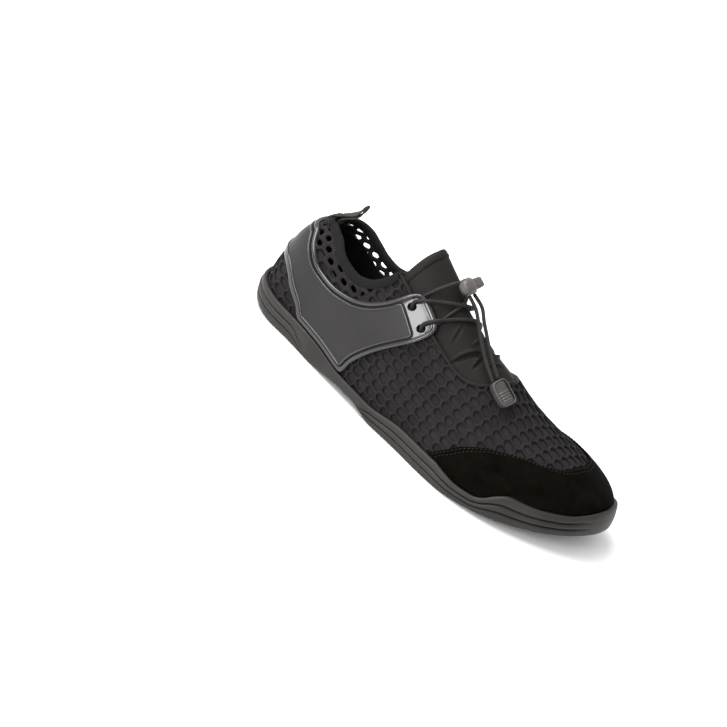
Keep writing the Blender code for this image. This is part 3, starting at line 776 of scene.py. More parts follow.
def cap_suede():
    """Black suede: a short nap, brushed in patches."""
    gloss = {"Sheen Weight": 0.012, "Sheen Roughness": 0.45, "Specular IOR Level": 0.02}
    tree, shader, suede = new_finish("cap_suede", (0.0030, 0.0024, 0.0019), 0.95, gloss)
    where = object_mm(tree)
    nap = speckle(tree, where, 0.55, 4.0, 0.7)
    brushed = speckle(tree, object_mm(tree, (0.6, 1.0, 1.0)), 9.0, 4.0, 0.6)
    set_colour(tree, shader, brushed, (0.0012, 0.0008, 0.0005), (0.0043, 0.0031, 0.0022))
    set_roughness(tree, shader, nap, 0.85, 1.0)
    set_bump(tree, shader, nap, 0.7, 0.30)
    return suede


def make_finishes():
    """Every finish of the shoe by its short name; pitches, grains and depths are in millimetres."""
    return {
        "rubber": sole_rubber(),
        "yarn": net_yarn(),
        "suede": cap_suede(),
        "braid": lace_braid(),
        "lining": woven(
            "lining_cloth", (0.0132, 0.0117, 0.0121), (0.0212, 0.0189, 0.0196), pitch=0.7, depth=0.10),
        "inside": woven(
            "inner_cloth", (0.0025, 0.0022, 0.0022), (0.0055, 0.0050, 0.0050), pitch=0.7, depth=0.10),
        "insole": woven(
            "insole_cloth", (0.0035, 0.0033, 0.0034), (0.0075, 0.0070, 0.0073),
            pitch=1.1, depth=0.2, turn=45.0),
        "webbing": woven(
            "loop_webbing", (0.014, 0.0125, 0.0113), (0.040, 0.0362, 0.0325), pitch=1.3, depth=0.3),
        "tape": woven(
            "heel_tape", (0.016, 0.0143, 0.0135), (0.029, 0.0262, 0.0246), pitch=1.0, depth=0.2),
        "stretch": ribbed(
            "stretch_cloth", (0.0062, 0.0047, 0.0042), (0.0170, 0.0131, 0.0121), pitch=0.55, depth=0.05,
            gloss=0.12, roughness=(0.46, 0.62)),
        "rim": ribbed(
            "rim_knit", (0.0042, 0.0037, 0.0037), (0.0150, 0.0133, 0.0131), pitch=1.6, depth=0.22, turn=35.0),
        "cage": moulded(
            "cage_plastic", (0.0150, 0.0133, 0.0139), (0.0200, 0.0178, 0.0186), roughness=(0.13, 0.20),
            grain_size=0.5, grain_depth=0.012, gloss=0.5, coat=0.3),
        "panel": moulded(
            "panel_plastic", (0.0125, 0.0110, 0.0114), (0.0165, 0.0147, 0.0151), roughness=(0.42, 0.54),
            grain_size=0.4, grain_depth=0.05, gloss=0.26),
        # Near-black finish for the strip round the cage panel: painted shade of a groove, not a darker
        # plastic
        "groove": moulded(
            "shade_strip_plastic", (0.0030, 0.0026, 0.0026), (0.0060, 0.0053, 0.0053), roughness=(0.40, 0.55),
            grain_size=0.5, grain_depth=0.03, gloss=0.15),
        "thread": moulded(
            "sewing_thread", (0.008, 0.0069, 0.0060), (0.022, 0.0190, 0.0166), roughness=(0.55, 0.75),
            grain_size=0.35, grain_depth=0.10, gloss=0.1),
        "lock": moulded(
            "lock_plastic", (0.052, 0.0455, 0.0435), (0.080, 0.0705, 0.0672), roughness=(0.30, 0.42),
            grain_size=0.4, grain_depth=0.04, gloss=0.45),
        "clip": moulded(
            "clip_plastic", (0.030, 0.0276, 0.0264), (0.050, 0.0462, 0.0442), roughness=(0.32, 0.44),
            grain_size=0.4, grain_depth=0.04, gloss=0.45),
    }


# Camera, floor and light

PICTURE_WIDTH = 727
SENSOR_WIDTH = 36.0
CAMERA = {
    "azimuth": 22.938, "elevation": 27.313, "roll": 29.459, "distance": 1.079054,
    "target": (0.053222, -0.243520, 0.141751), "focal_pixels": 2103.785,
}
STUDIO_SKY = 0.88
LIT_POINT = (0.0, 0.0, 0.04)
MAIN_BOX = {"distance": 1.5, "size": 1.2, "power": 33.0}
MAIN_AIM = {"up": 0.80, "back": 0.35, "right": -0.12}
SIDE_BOX = {"direction": (-0.13, -0.92, 0.37), "distance": 1.6, "size": 0.66, "power": 14.0}
FLOOR_HALF = 5.0


def camera_axes():
    """Right, up and backward directions of the camera."""
    turn, lift, roll = (math.radians(CAMERA[name]) for name in ("azimuth", "elevation", "roll"))
    back = Vector((math.sin(turn) * math.cos(lift), -math.cos(turn) * math.cos(lift), math.sin(lift)))
    level = Vector((math.cos(turn), math.sin(turn), 0.0))
    upright = back.cross(level)
    right = level * math.cos(roll) + upright * math.sin(roll)
    up = upright * math.cos(roll) - level * math.sin(roll)
    return right, up, back


def set_camera():
    """Camera at the photograph's view of the shoe."""
    right, up, back = camera_axes()
    lens = bpy.data.cameras.new("photo_camera")
    lens.sensor_width = SENSOR_WIDTH
    lens.lens = CAMERA["focal_pixels"] * SENSOR_WIDTH / PICTURE_WIDTH
    lens.clip_end = 10 * FLOOR_HALF
    camera = bpy.data.objects.new("photo_camera", lens)
    place = Matrix((right, up, back)).transposed().to_4x4()
    place.translation = Vector(CAMERA["target"]) + back * CAMERA["distance"]
    camera.matrix_world = place
    bpy.context.collection.objects.link(camera)
    bpy.context.scene.camera = camera


def area_light(name, direction, distance, size, power):
    """Soft box that faces the shoe."""
    light = bpy.data.lights.new(name, "AREA")
    light.shape = "SQUARE"
    light.size = size
    light.energy = power
    lamp = bpy.data.objects.new(name, light)
    direction = Vector(direction).normalized()
    lamp.matrix_world = direction.to_track_quat("Z", "Y").to_matrix().to_4x4()
    lamp.location = Vector(LIT_POINT) + direction * distance
    bpy.context.collection.objects.link(lamp)


def set_studio():
    """White studio: even sky light, a main soft box over the heel and a small one for the lace tab."""
    right, up, back = camera_axes()
    world = bpy.data.worlds.new("studio")
    world.use_nodes = True
    sky = world.node_tree.nodes["Background"]
    sky.inputs["Color"].default_value = (1.0, 1.0, 1.0, 1.0)
    sky.inputs["Strength"].default_value = STUDIO_SKY
    bpy.context.scene.world = world
    bpy.context.scene.view_settings.view_transform = "Standard"
    aim = up * MAIN_AIM["up"] + back * MAIN_AIM["back"] + right * MAIN_AIM["right"]
    area_light("main_box", aim, **MAIN_BOX)
    area_light("side_box", **SIDE_BOX)


def make_floor():
    """Pale paper floor, which is no part of the shoe."""
    tree, shader, paper = new_finish("studio_paper", (0.90, 0.90, 0.90), 0.85)
    grain = add(tree, "TexNoise", {"Vector": object_mm(tree), "Scale": 0.6, "Detail": 3.0})
    set_bump(tree, shader, grain.outputs["Fac"], 0.02, 0.2)
    mesh = bpy.data.meshes.new("studio_floor")
    corners = [(FLOOR_HALF * x, FLOOR_HALF * y, 0) for x, y in ((-1, -1), (1, -1), (1, 1), (-1, 1))]
    mesh.from_pydata(corners, [], [(0, 1, 2, 3)])
    new_piece("studio_floor", mesh, paper)


# Sole and insole

SIDE_STATIONS = 190
FINE_STATIONS = 4000
SPINE_START, SPINE_END = 40.0, LENGTH - 55.0
SOLE_LINES = (0.36, 0.66)
LINE_HALF = 0.062
LINE_DEPTH = 2.0
LINE_LOWEST = 0.25
LINES_TOP = 0.80
LINE_ENDS = {
    LATERAL: {"heel_end": (0.17, 0.25), "ball_start": (0.415, 0.475)},
    MEDIAL: {"heel_end": (0.26, 0.38), "ball_start": (0.50, 0.60)},
}
LINE_FADE = (0.955, 0.995)
SIDE_PROFILE = table("climb inset", [
    (0.00, 1.5),
    (0.05, 0.9),
    (0.16, 0.5),
    (0.45, 0.0),
    (0.86, 0.3),
    (1.00, 0.9),
])
TREAD = {
    "pitch": 9.0, "depth": 1.7, "inset": 2.2, "wave": 4.5, "wave_width": 26.0, "wave_shift": 4.0,
    "groove": (0.20, 0.08), "split": (2.2, 1.0), "split_shift": 1.0, "edge": (0.93, 0.87),
    "heel_end": (0.25, 0.31), "ball_start": (0.52, 0.58),
}
TREAD_RINGS = 27
INNER_CLIMBS = (1.0, 0.7, 0.35, 0.0)
FLOOR_KEEPS = (0.8, 0.5, 0.25, 0.0)
RAND_GAP = GAP + 0.2
INSOLE_INSET = RAND_WIDTH + WALL + 3.2
INSOLE_DISH = 0.8
INSOLE_START, INSOLE_SPAN = 0.004, 0.966
INSOLE_ROWS = 60
INSOLE_COLS = 21

# Rings of the side wall: part of its height, and share of a line's depth

FOOT_RINGS = [(0.03, 0), (0.10, 0), (0.20, 0)]
BETWEEN_LINES = [(0.51, -0.15)]
LIP_RINGS = [(0.84, 0), (0.92, 0), (0.97, 0), (1.0, 0.25)]

# A moulded line from edge to edge: step from its middle in half widths, and share of its depth

LINE_STEPS = [(-1.0, 0.0), (-0.6, 0.15), (-0.25, 1.0), (0.25, 1.0), (0.6, 0.15), (1.0, 0.0)]


def stations_along(side):
    """Shares spread evenly round the sole's edge."""
    share = close_at_ends(FINE_STATIONS)
    run = run_along(np.stack(outline(share, side, 0), -1))
    return np.interp(np.linspace(0, run[-1], SIDE_STATIONS), run, share)


def toward_spine(x, y, keep):
    """Plan point drawn toward the middle line of the sole."""
    middle_x = np.clip(x, SPINE_START, SPINE_END)
    middle_y = read(PLAN, "centre", middle_x / LENGTH)
    return middle_x + (x - middle_x) * keep, middle_y + (y - middle_y) * keep


def line_reach(share, side):
    """How far the two sidewall lines stand at their full height: they run down at the waist."""
    ends = LINE_ENDS[side]
    return np.maximum(1 - ease(share, *ends["heel_end"]), ease(share, *ends["ball_start"]))


def line_depth(share, side):
    """Depth share of the sidewall lines, which die out at the toe tip."""
    return np.clip(line_reach(share, side) * 2, 0, 1) * (1 - ease(share, *LINE_FADE))


def tread_lift(x, y, keep):
    """Depth of the tread's waved grooves under the heel and the ball."""
    share = x / LENGTH
    bend = np.cos((y + TREAD["wave_shift"]) / TREAD["wave_width"] * 2 * math.pi)
    wave = (x + TREAD["wave"] * bend) / TREAD["pitch"]
    groove = ease(np.abs(wave - np.round(wave)), *TREAD["groove"])
    split = ease(np.abs(y - read(PLAN, "centre", share) - TREAD["split_shift"]), *TREAD["split"])
    ground = np.maximum(1 - ease(share, *TREAD["heel_end"]), ease(share, *TREAD["ball_start"]))
    return TREAD["depth"] * np.maximum(groove, split) * ground * ease(keep, *TREAD["edge"])


def tread_ring(keep):
    """Ring under the sole, drawn in toward its middle line."""
    def point_at(share, side):
        x, y = toward_spine(*outline(share, side, TREAD["inset"]), keep)
        ground = by_side(GROUND, x / LENGTH, side)
        even = (by_side(GROUND, x / LENGTH, LATERAL) + by_side(GROUND, x / LENGTH, MEDIAL)) / 2
        return np.stack([x, y, even + (ground - even) * keep + tread_lift(x, y, keep)], -1)
    return point_at


def side_ring(climb, groove):
    """Ring round the side wall, sunk where it is part of a moulded line."""
    def point_at(share, side):
        run_down = LINE_LOWEST + (1 - LINE_LOWEST) * line_reach(share, side)
        up = climb * run_down if climb < LINES_TOP else np.full_like(share, climb)
        inset = np.interp(up, SIDE_PROFILE["climb"], SIDE_PROFILE["inset"])
        x, y = outline(share, side, inset + groove * LINE_DEPTH * line_depth(share, side))
        ground = by_side(GROUND, x / LENGTH, side)
        top = by_side(RAND, x / LENGTH, side)
        return np.stack([x, y, ground + (top - ground) * up], -1)
    return point_at


def inner_ring(climb):
    """Ring on the rand's inner face, beside the upper."""
    def point_at(share, side):
        floor = section(share)["floor"]
        height = floor - GAP + (rand_top(share, side) - floor + GAP) * climb
        point = wall_flat(share, side, rise_at(share, np.maximum(height, floor)))[:, :2]
        outward = unit(np.stack(outline(share, side, 0), -1) - point)
        return np.column_stack([point + outward * RAND_GAP, height])
    return point_at


def floor_ring(keep):
    """Ring on the sole's floor, drawn in toward its middle line."""
    def point_at(share, side):
        edge = inner_ring(0.0)(share, side)
        x, y = toward_spine(edge[:, 0], edge[:, 1], keep)
        return np.stack([x, y, read(FLOOR, "height", x / LENGTH) - GAP], -1)
    return point_at


def make_sole(finish):
    """Cup sole: tread, side wall with two moulded lines, rand lip, inner face and floor, as rings."""
    low_line, high_line = (
        [(middle + step * LINE_HALF, groove) for step, groove in LINE_STEPS] for middle in SOLE_LINES)
    makers = [tread_ring(keep) for keep in np.linspace(0, 1, TREAD_RINGS)]
    makers += [side_ring(*row) for row in FOOT_RINGS + low_line + BETWEEN_LINES + high_line + LIP_RINGS]
    makers += [inner_ring(climb) for climb in INNER_CLIMBS]
    makers += [floor_ring(keep) for keep in FLOOR_KEEPS]
    stations = {side: stations_along(side) for side in SIDES}
    rings = []
    for point_at in makers:
        outer, inner = (point_at(stations[side], side) for side in SIDES)
        rings.append(toe_spring(np.vstack([outer, inner[-2:0:-1]])))
    rings = np.array(rings)
    shape = Shape().add(rings, grid(len(rings), rings.shape[1], ring=True))
    return hand_over(shape.make("outsole_rubber", finish, weld=0.02), "sole_rubber", "outsole")


def make_insole(finish):
    """Loose flat insole with a softly dished cloth top."""
    share = INSOLE_START + INSOLE_SPAN * close_at_ends(INSOLE_ROWS)
    part = np.sin(np.linspace(-math.pi / 2, math.pi / 2, INSOLE_COLS))
    left, right = (outline(share, side, INSOLE_INSET) for side in SIDES)
    x = np.repeat(left[0][:, None], INSOLE_COLS, 1)
    y = (left[1] + right[1])[:, None] / 2 + (right[1] - left[1])[:, None] / 2 * part
    floor = read(FLOOR, "height", x / LENGTH) + 2 * GAP
    dish = INSOLE_DISH * np.abs(part) ** 4
    top = toe_spring(np.stack([x, y, floor + INSOLE_THICK - INSOLE_DISH + dish], -1))
    under = toe_spring(np.stack([x, y, floor], -1))
    shape = Shape().add_slab(top, under, np.stack([x, y], -1))
    return hand_over(shape.make("insole_layer", finish, weld=0.01, flat_over=50), "insole_foam", "insole")


# Net upper, its lining and its bindings

NET = {
    "column_pitch": 8.6, "stack_pitch": 6.6, "lean": 12.0, "strand": 1.3, "collar_strand": 3.1,
    "corner": 0.60, "end_strand": 1.35, "oval": 0.4, "facet": (0.94, 0.97),
}
LINING_DROP = 13.0
NET_DEPTH = 1.1
NET_MARGIN = {"end": 2.0, "ridge": 3.0, "foot": 2.0, "edge": 3.0, "collar": 2.0}
NET_COLUMNS = (-8, 12)
NET_STACKS = 30
COLLAR_NET_END = 0.33
CAGE_COVER_END = 0.455
LINING_DROP_ENDS = (0.265, 0.325)
LINING_TURN = 90.0
TAPE_WIDTH = 9.0
TAPE_HEIGHTS = (16.5, 43.0)
TAPE_FACE, TAPE_BACK = 1.15, 0.3
TAPE_EDGE = {"width": 0.8, "drop": 0.35}
CHART_SHARES = close_at_ends(181)
CHART_RISES = np.linspace(0, 1, 101)
RUN_ROW = 35
THROAT_BASE = THROAT["share"][-1]
RIM_PROFILE = [
    (-5.0, 0.45), (-4.4, 0.75), (-2.0, 0.85), (0.0, 0.75), (0.9, 0.2), (1.2, -0.9), (0.9, -2.0),
    (0.0, -2.7), (-2.0, -2.8), (-4.4, -2.7), (-5.0, -2.4), (-5.0, -1.0),
]
BINDING_PROFILE = [
    (-1.6, 0.3), (-1.3, 0.6), (0.0, 0.6), (0.5, 0.1), (0.6, -1.2), (0.3, -2.3), (-2.5, -2.4), (-2.5, -1.5),
]
COLLAR_END, THROAT_START, THROAT_MIDDLE = 0.332, 0.326, 0.5

# Rings of a cell: part of the way to its window, and height off the upper

NET_RINGS = [(0.0, 0.55), (0.5, 0.42), (0.85, 0.10), (1.0, -0.30), (0.97, -NET_DEPTH), (0.0, -NET_DEPTH)]

# Places beside a cell: step along the shoe as a share, and step up in millimetres

NEARBY = [(0, 0), (0.024, 0), (-0.024, 0), (0, 6), (0, -6)]

# Layers of the lining: piece, finish, and heights of its two faces off the upper

LINING_LAYERS = [
    ("net_lining", "lining", -NET_DEPTH - 0.03, -1.25),
    ("inner_lining", "inside", -1.28, -1.95),
]


class WallChart:
    """One side of the upper laid flat: run along the shoe, and way up from the sole."""

    def __init__(self, side):
        self.side = side
        points = wall(CHART_SHARES[:, None], side, CHART_RISES[None, :])
        self.climb = np.array([run_along(row) for row in points])
        self.run = run_along(points[:, RUN_ROW])
        top = [upper_top(share, side) for share in CHART_SHARES]
        self.top = np.array([np.interp(rise, CHART_RISES, row) for rise, row in zip(top, self.climb)])
        full = self.climb[:, -1]
        at_base = np.interp(THROAT_BASE, CHART_SHARES, full)
        self.ridge = np.where(CHART_SHARES < THROAT_BASE, at_base, full)

    def rise_of(self, share, climb):
        """Rise on the wall for a way up in millimetres."""
        place = np.interp(share, CHART_SHARES, np.arange(len(CHART_SHARES)))
        first = np.minimum(place.astype(int), len(CHART_SHARES) - 2)
        part = place - first
        low = [np.interp(up, self.climb[row], CHART_RISES) for up, row in zip(climb, first)]
        high = [np.interp(up, self.climb[row + 1], CHART_RISES) for up, row in zip(climb, first)]
        return np.array(low) * (1 - part) + np.array(high) * part

    def points(self, share, below, off):
        """Points at a way below the ridge, kept inside the upper's edges."""
        climb = np.interp(share, CHART_SHARES, self.ridge) - below
        climb = np.clip(climb, 0, np.interp(share, CHART_SHARES, self.top))
        return wall(share, self.side, self.rise_of(share, climb), off)


def covered(share, side, rise):
    """Whether the net lies well under the cage or the toe cap, where no cell is needed."""
    height = float(wall_flat(share, side, rise)[2])
    if share < CAGE_COVER_END:
        low = max(float(by_side(CAGE_LOW, share, side)), float(rand_top(share, side)))
        return low < height < float(by_side(CAGE_HIGH, share, side))
    return share > CAP_SEAM["share"][0] and share > float(read(CAP_SEAM, "share", rise))


def net_cell(strand):
    """One cell in its own plane: rings from the strand's middle line to the window's edge."""
    half = NET["stack_pitch"] / 2
    far = NET["corner"] * NET["column_pitch"]
    near = NET["column_pitch"] - far
    corners = np.array([(far, 0), (near, half), (-near, half), (-far, 0), (-near, -half), (near, -half)])
    outer = []
    for start, end, count in zip(corners, np.roll(corners, -1, 0), [2, 4, 2, 2, 4, 2]):
        outer += [start + (end - start) * step / count for step in range(count)]
    outer = np.array(outer)
    turn = np.arctan2(outer[:, 1] / half, outer[:, 0] / far)
    window_half = np.array([far - NET["end_strand"] * strand / 2, half - strand / 2])
    oval = window_half * np.stack([np.cos(turn), np.sin(turn)], -1)
    facet = outer * (window_half / [far, half] * NET["facet"])
    window = NET["oval"] * oval + (1 - NET["oval"]) * facet
    rings = [outer + (window - outer) * part for part, _ in NET_RINGS]
    offs = np.repeat([off for _, off in NET_RINGS], len(outer))
    return np.vstack(rings), offs, len(outer)


def cell_hidden(chart, share, climb):
    """Whether a cell and the places beside it all lie under the cage or the cap."""
    shares = np.clip([share + step for step, _ in NEARBY], 0, 1)
    rises = chart.rise_of(shares, [max(climb + lift, 0) for _, lift in NEARBY])
    return all(covered(float(place), chart.side, rise) for place, rise in zip(shares, rises))


def net_points(charts, run, flat, offs):
    """Points of a cell that is laid flat over the ridge, its outer side negative."""
    shares = np.interp(flat[:, 0], run, CHART_SHARES)
    points = np.empty((len(flat), 3))
    for side in SIDES:
        chosen = (flat[:, 1] < 0) if side < 0 else (flat[:, 1] >= 0)
        if chosen.any():
            below = np.abs(flat[chosen, 1])
            points[chosen] = charts[side].points(shares[chosen], below, offs[chosen])
    return points


def make_net(finish):
    """Open net: every cell is a window in a ring of puffy yarn, laid in leaning columns over the upper."""
    charts = {side: WallChart(side) for side in SIDES}
    run = (charts[LATERAL].run + charts[MEDIAL].run) / 2
    reach = max(charts[side].ridge.max() for side in charts)
    cell, offs, sides = net_cell(NET["strand"])
    collar_cell = net_cell(NET["collar_strand"])[0]
    lean = math.radians(NET["lean"])
    along = np.array([math.cos(lean), -math.sin(lean)])
    up = np.array([math.sin(lean), math.cos(lean)])
    faces = grid(len(NET_RINGS), sides, ring=True)
    shape = Shape()
    for column in range(NET_COLUMNS[0], int(run[-1] / NET["column_pitch"]) + NET_COLUMNS[1]):
        for stack in range(-NET_STACKS, NET_STACKS + 1):
            stagger = stack + 0.5 * (column % 2)
            middle = along * column * NET["column_pitch"] + up * stagger * NET["stack_pitch"]
            on_shoe = -NET_MARGIN["end"] < middle[0] < run[-1] + NET_MARGIN["end"]
            if not on_shoe or abs(middle[1]) >= reach + NET_MARGIN["ridge"]:
                continue
            chart = charts[LATERAL if middle[1] < 0 else MEDIAL]
            share = float(np.interp(middle[0], run, CHART_SHARES))
            climb = float(np.interp(share, CHART_SHARES, chart.ridge)) - abs(middle[1])
            top = float(np.interp(share, CHART_SHARES, chart.top))
            past_top = climb > top + NET_MARGIN["edge"] and share < THROAT_BASE
            if climb < NET_MARGIN["foot"] or past_top or cell_hidden(chart, share, climb):
                continue
            at_collar = share < COLLAR_NET_END and climb > top - LINING_DROP - NET_MARGIN["collar"]
            used = collar_cell if at_collar else cell
            flat = middle + used[:, :1] * along + used[:, 1:] * up
            shape.add(net_points(charts, run, flat, offs), faces, flat)
    return hand_over(shape.make("net_upper", finish, weld=0.05), "net_fabric", "upper")


def lining_top(share, side):
    """Rise of the lining's top edge: well below the collar, flush at the throat."""
    top = upper_top(share, side)
    if share >= COLLAR["share"][-1]:
        return top
    drop = LINING_DROP * (1 - float(ease(share, *LINING_DROP_ENDS)))
    return float(rise_at(share, by_side(COLLAR, share, side) - drop))


def make_lining(finishes):
    """Thin cloth lining just behind the net, with a dark cloth on its inner face."""
    shares = close_at_ends(150)
    for name, finish, front_off, back_off in LINING_LAYERS:
        shape = Shape()
        for side in SIDES:
            tops = np.array([lining_top(share, side) for share in shares])
            rises = tops[:, None] * np.linspace(0, 1, 40)
            front, back = (wall(shares[:, None], side, rises, off) for off in (front_off, back_off))
            cloth = np.stack(np.broadcast_arrays(shares[:, None] * LENGTH, rises * LINING_TURN), -1)
            shape.add_slab(front, back, cloth)
        hand_over(shape.make(name, finishes[finish], weld=0.02, flat_over=60), "net_fabric")


def edge_frames(trail):
    """Path, way up in the surface and way out, along places given as share, side and rise."""
    path = np.array([wall(share, side, rise, 0.0) for share, side, rise in trail])
    out = unit(np.array([wall(share, side, rise, 1.0) for share, side, rise in trail]) - path)
    along = np.gradient(path, axis=0)
    for _ in range(4):
        along[1:-1] = (along[:-2] + 2 * along[1:-1] + along[2:]) / 4
    up = unit(np.cross(unit(along), out))
    up *= np.where(up[:, 2:] < 0, -1.0, 1.0)
    return path, up, out


def edge_trail(shares):
    """Places along the upper's top edge, out on the outer side and back on the inner one."""
    return [(share, side, upper_top(share, side)) for share, side in out_and_back(shares)]


def make_bindings(finishes):
    """Folded knit rim of the collar, round the heel, and the narrow binding of the throat."""
    collar = edge_trail(COLLAR_END * close_at_start(90)[::-1])
    rim = Shape().add_band(*edge_frames(collar), RIM_PROFILE)
    hand_over(rim.make("collar_rim", finishes["rim"], flat_over=70), "net_fabric")
    throat = edge_trail(THROAT_START + (THROAT_BASE - THROAT_START) * close_at_last(70))
    path, up, out = edge_frames(throat)
    inside = across(THROAT_MIDDLE, 0.0, 0.0) - path
    up *= np.sign(np.sum(up * inside, axis=1, keepdims=True))
    binding = Shape().add_band(path, up, out, BINDING_PROFILE)
    hand_over(binding.make("throat_binding", finishes["stretch"], flat_over=70), "net_fabric")


def make_heel_tape(finish):
    """Woven tape over the net's joint at the back of the heel."""
    chart = WallChart(MEDIAL)
    half = TAPE_WIDTH / 2
    reach = np.linspace(-half, half, 11)
    heights = np.linspace(*TAPE_HEIGHTS, 30)
    shares = np.interp(np.abs(reach), chart.run, CHART_SHARES)
    sides = np.where(reach < 0, LATERAL, MEDIAL)

    def face(off):
        columns = [wall(share, side, rise_at(share, heights), off) for share, side in zip(shares, sides)]
        return np.stack(columns, 1)

    edge = TAPE_EDGE["drop"] * ease(np.abs(reach), half - TAPE_EDGE["width"], half)
    cloth = np.stack(np.broadcast_arrays(heights[:, None], reach[None, :]), -1)
    front = face(TAPE_FACE) - edge[None, :, None] * (face(1.0) - face(0.0))
    shape = Shape().add_slab(front, face(TAPE_BACK), cloth)
    return hand_over(shape.make("heel_tape", finish, weld=0.01, flat_over=60), "net_fabric")


# Support cage

CAGE_STEP = 1.6
PANEL_INSET = 3.9
TAB_LINE = {"share": 0.376, "height": 73.3, "slope": -0.627, "other_side": -20.0}
CAGE_END = CAGE_LOW["share"][-1]
CAGE_CHART = {"end": 0.52, "height": 45.0}
CAGE_FILL = 3.2
FILL_GAP = {"edge": 0.45, "hole": 0.4, "join": 1e-5}
ON_EDGE = 1e-3
CAGE_BACK = 0.5
TAB_BEAD = {"drop": 0.7, "over": (0.385, 0.41)}
FRONT_BEAD = {"size": 0.55, "over": (0.33, 0.36)}

# Rings from an edge inwards: way in from the edge and height off the upper; the cage adds the bead's height

CAGE_RINGS = [
    (0.0, CAGE_BACK, CAGE_BACK), (0.0, 1.5, 1.6), (0.4, 1.85, 2.5), (1.1, 1.95, 3.0), (1.9, 1.95, 2.9),
    (2.6, 1.9, 2.1), (3.0, 1.8, 1.6), (3.4, 1.8, 1.7),
]
PANEL_RINGS = [(0.0, 1.2), (0.0, 2.2), (0.5, 2.35), (2.4, 2.35)]
EDGE_RINGS = [
    (-0.05, 1.3), (-0.05, 2.3), (0.10, 2.72), (0.35, 2.88), (0.85, 2.88), (1.1, 2.70), (1.25, 2.2),
    (1.25, 1.3), (-0.05, 1.3),
]
# Strip just outside the panel, a little proud of the cage skin: a dark sheet of painted shade where a groove
# would lie
SHADE_STRIP_RINGS = [(-1.05, 1.3), (-1.05, 1.92), (-0.05, 1.92), (-0.05, 1.3), (-1.05, 1.3)]
EYELET_RINGS = [(1.2, CAGE_RINGS[-1][1]), (0.65, 1.84), (0.15, 1.75), (0.0, 1.45), (0.0, CAGE_BACK)]
PROBE_OFF = 1.9


class CageChart:
    """The cage's skin laid flat: way round the heel (outer side negative) and height."""

    def __init__(self):
        self.shares = close_at_start(240) * CAGE_CHART["end"]
        rises = rise_at(self.shares, CAGE_CHART["height"])
        self.run = {side: run_along(wall(self.shares, side, rises)) for side in SIDES}

    def flat(self, share, side):
        """Way round the heel for a share of the shoe's length."""
        return side * np.interp(share, self.shares, self.run[side])

    def points(self, places, off):
        """Points of the cage for flat places, at a stand-off from the upper."""
        places = np.asarray(places, float)
        off = np.broadcast_to(off, len(places))
        result = np.empty((len(places), 3))
        for side in SIDES:
            chosen = (places[:, 0] < 0) if side < 0 else (places[:, 0] >= 0)
            share = np.interp(np.abs(places[chosen, 0]), self.run[side], self.shares)
            result[chosen] = wall(share, side, rise_at(share, places[chosen, 1]), off[chosen])
        return result


def softened(loop):
    """Closed line with each point drawn halfway toward its neighbours."""
    return (np.roll(loop, 1, 0) + 2 * loop + np.roll(loop, -1, 0)) / 4


def loop_evened(loop, step, rounds):
    """Closed line with evenly spaced points and softened corners."""
    loop = np.asarray(loop, float)
    closed = np.vstack([loop, loop[:1]])
    run = run_along(closed[:, :2])
    even = np.linspace(0, run[-1], int(run[-1] / step), endpoint=False)
    loop = np.stack([np.interp(even, run, closed[:, axis]) for axis in range(loop.shape[1])], -1)
    for _ in range(rounds):
        loop = softened(loop)
    return loop


def inset_loop(loop, distance):
    """Closed line moved to its inner side."""
    after = np.roll(loop, -1, 0)
    along = after - np.roll(loop, 1, 0)
    inward = unit(np.stack([-along[:, 1], along[:, 0]], -1))
    area = np.sum(loop[:, 0] * after[:, 1] - after[:, 0] * loop[:, 1])
    for _ in range(int(distance * 2)):
        inward = softened(inward)
    return loop + inward * distance * np.sign(area)


def inside_loop(places, loop):
    """Which flat places lie inside a closed line."""
    x, y = places[:, 0][:, None], places[:, 1][:, None]
    after = np.roll(loop, -1, 0)
    crosses = (loop[:, 1] > y) != (after[:, 1] > y)
    rise = after[:, 1] - loop[:, 1]
    rise = np.where(np.abs(rise) < TINY, TINY, rise)
    at = loop[:, 0] + (y - loop[:, 1]) / rise * (after[:, 0] - loop[:, 0])
    return np.sum(crosses & (x < at), axis=1) % 2 == 1


def gap_to(places, loop):
    """Distance of flat places from the points of a line."""
    return np.min(np.linalg.norm(places[:, None] - loop[None], axis=2), axis=1)


def fill_loop(loop, holes=(), spacing=CAGE_FILL):
    """Triangles that fill a closed line, less its round holes."""
    low, high = loop.min(0), loop.max(0)
    x, y = np.meshgrid(np.arange(low[0], high[0], spacing), np.arange(low[1], high[1], spacing))
    x = x + (np.arange(len(x)) % 2)[:, None] * spacing / 2
    free = np.stack([x.ravel(), y.ravel()], -1)
    free = free[inside_loop(free, loop)]
    free = free[gap_to(free, loop) > spacing * FILL_GAP["edge"]]
    for hole in holes:
        free = free[gap_to(free, hole) > spacing * FILL_GAP["hole"]]
        free = free[~inside_loop(free, hole)]
    edges = []
    base = 0
    for line in (loop, *holes):
        edges += [(base + here, base + (here + 1) % len(line)) for here in range(len(line))]
        base += len(line)
    flat = [Vector(place) for place in np.vstack([loop, *holes, free])]
    found = delaunay_2d_cdt(flat, edges, [], 0, FILL_GAP["join"])
    spots = np.array([tuple(spot) for spot in found[0]])
    faces = np.array(found[2])
    middle = spots[faces].mean(1)
    keep = inside_loop(middle, loop)
    for hole in holes:
        keep &= ~inside_loop(middle, hole)
    return spots, [tuple(int(corner) for corner in face) for face in faces[keep]]


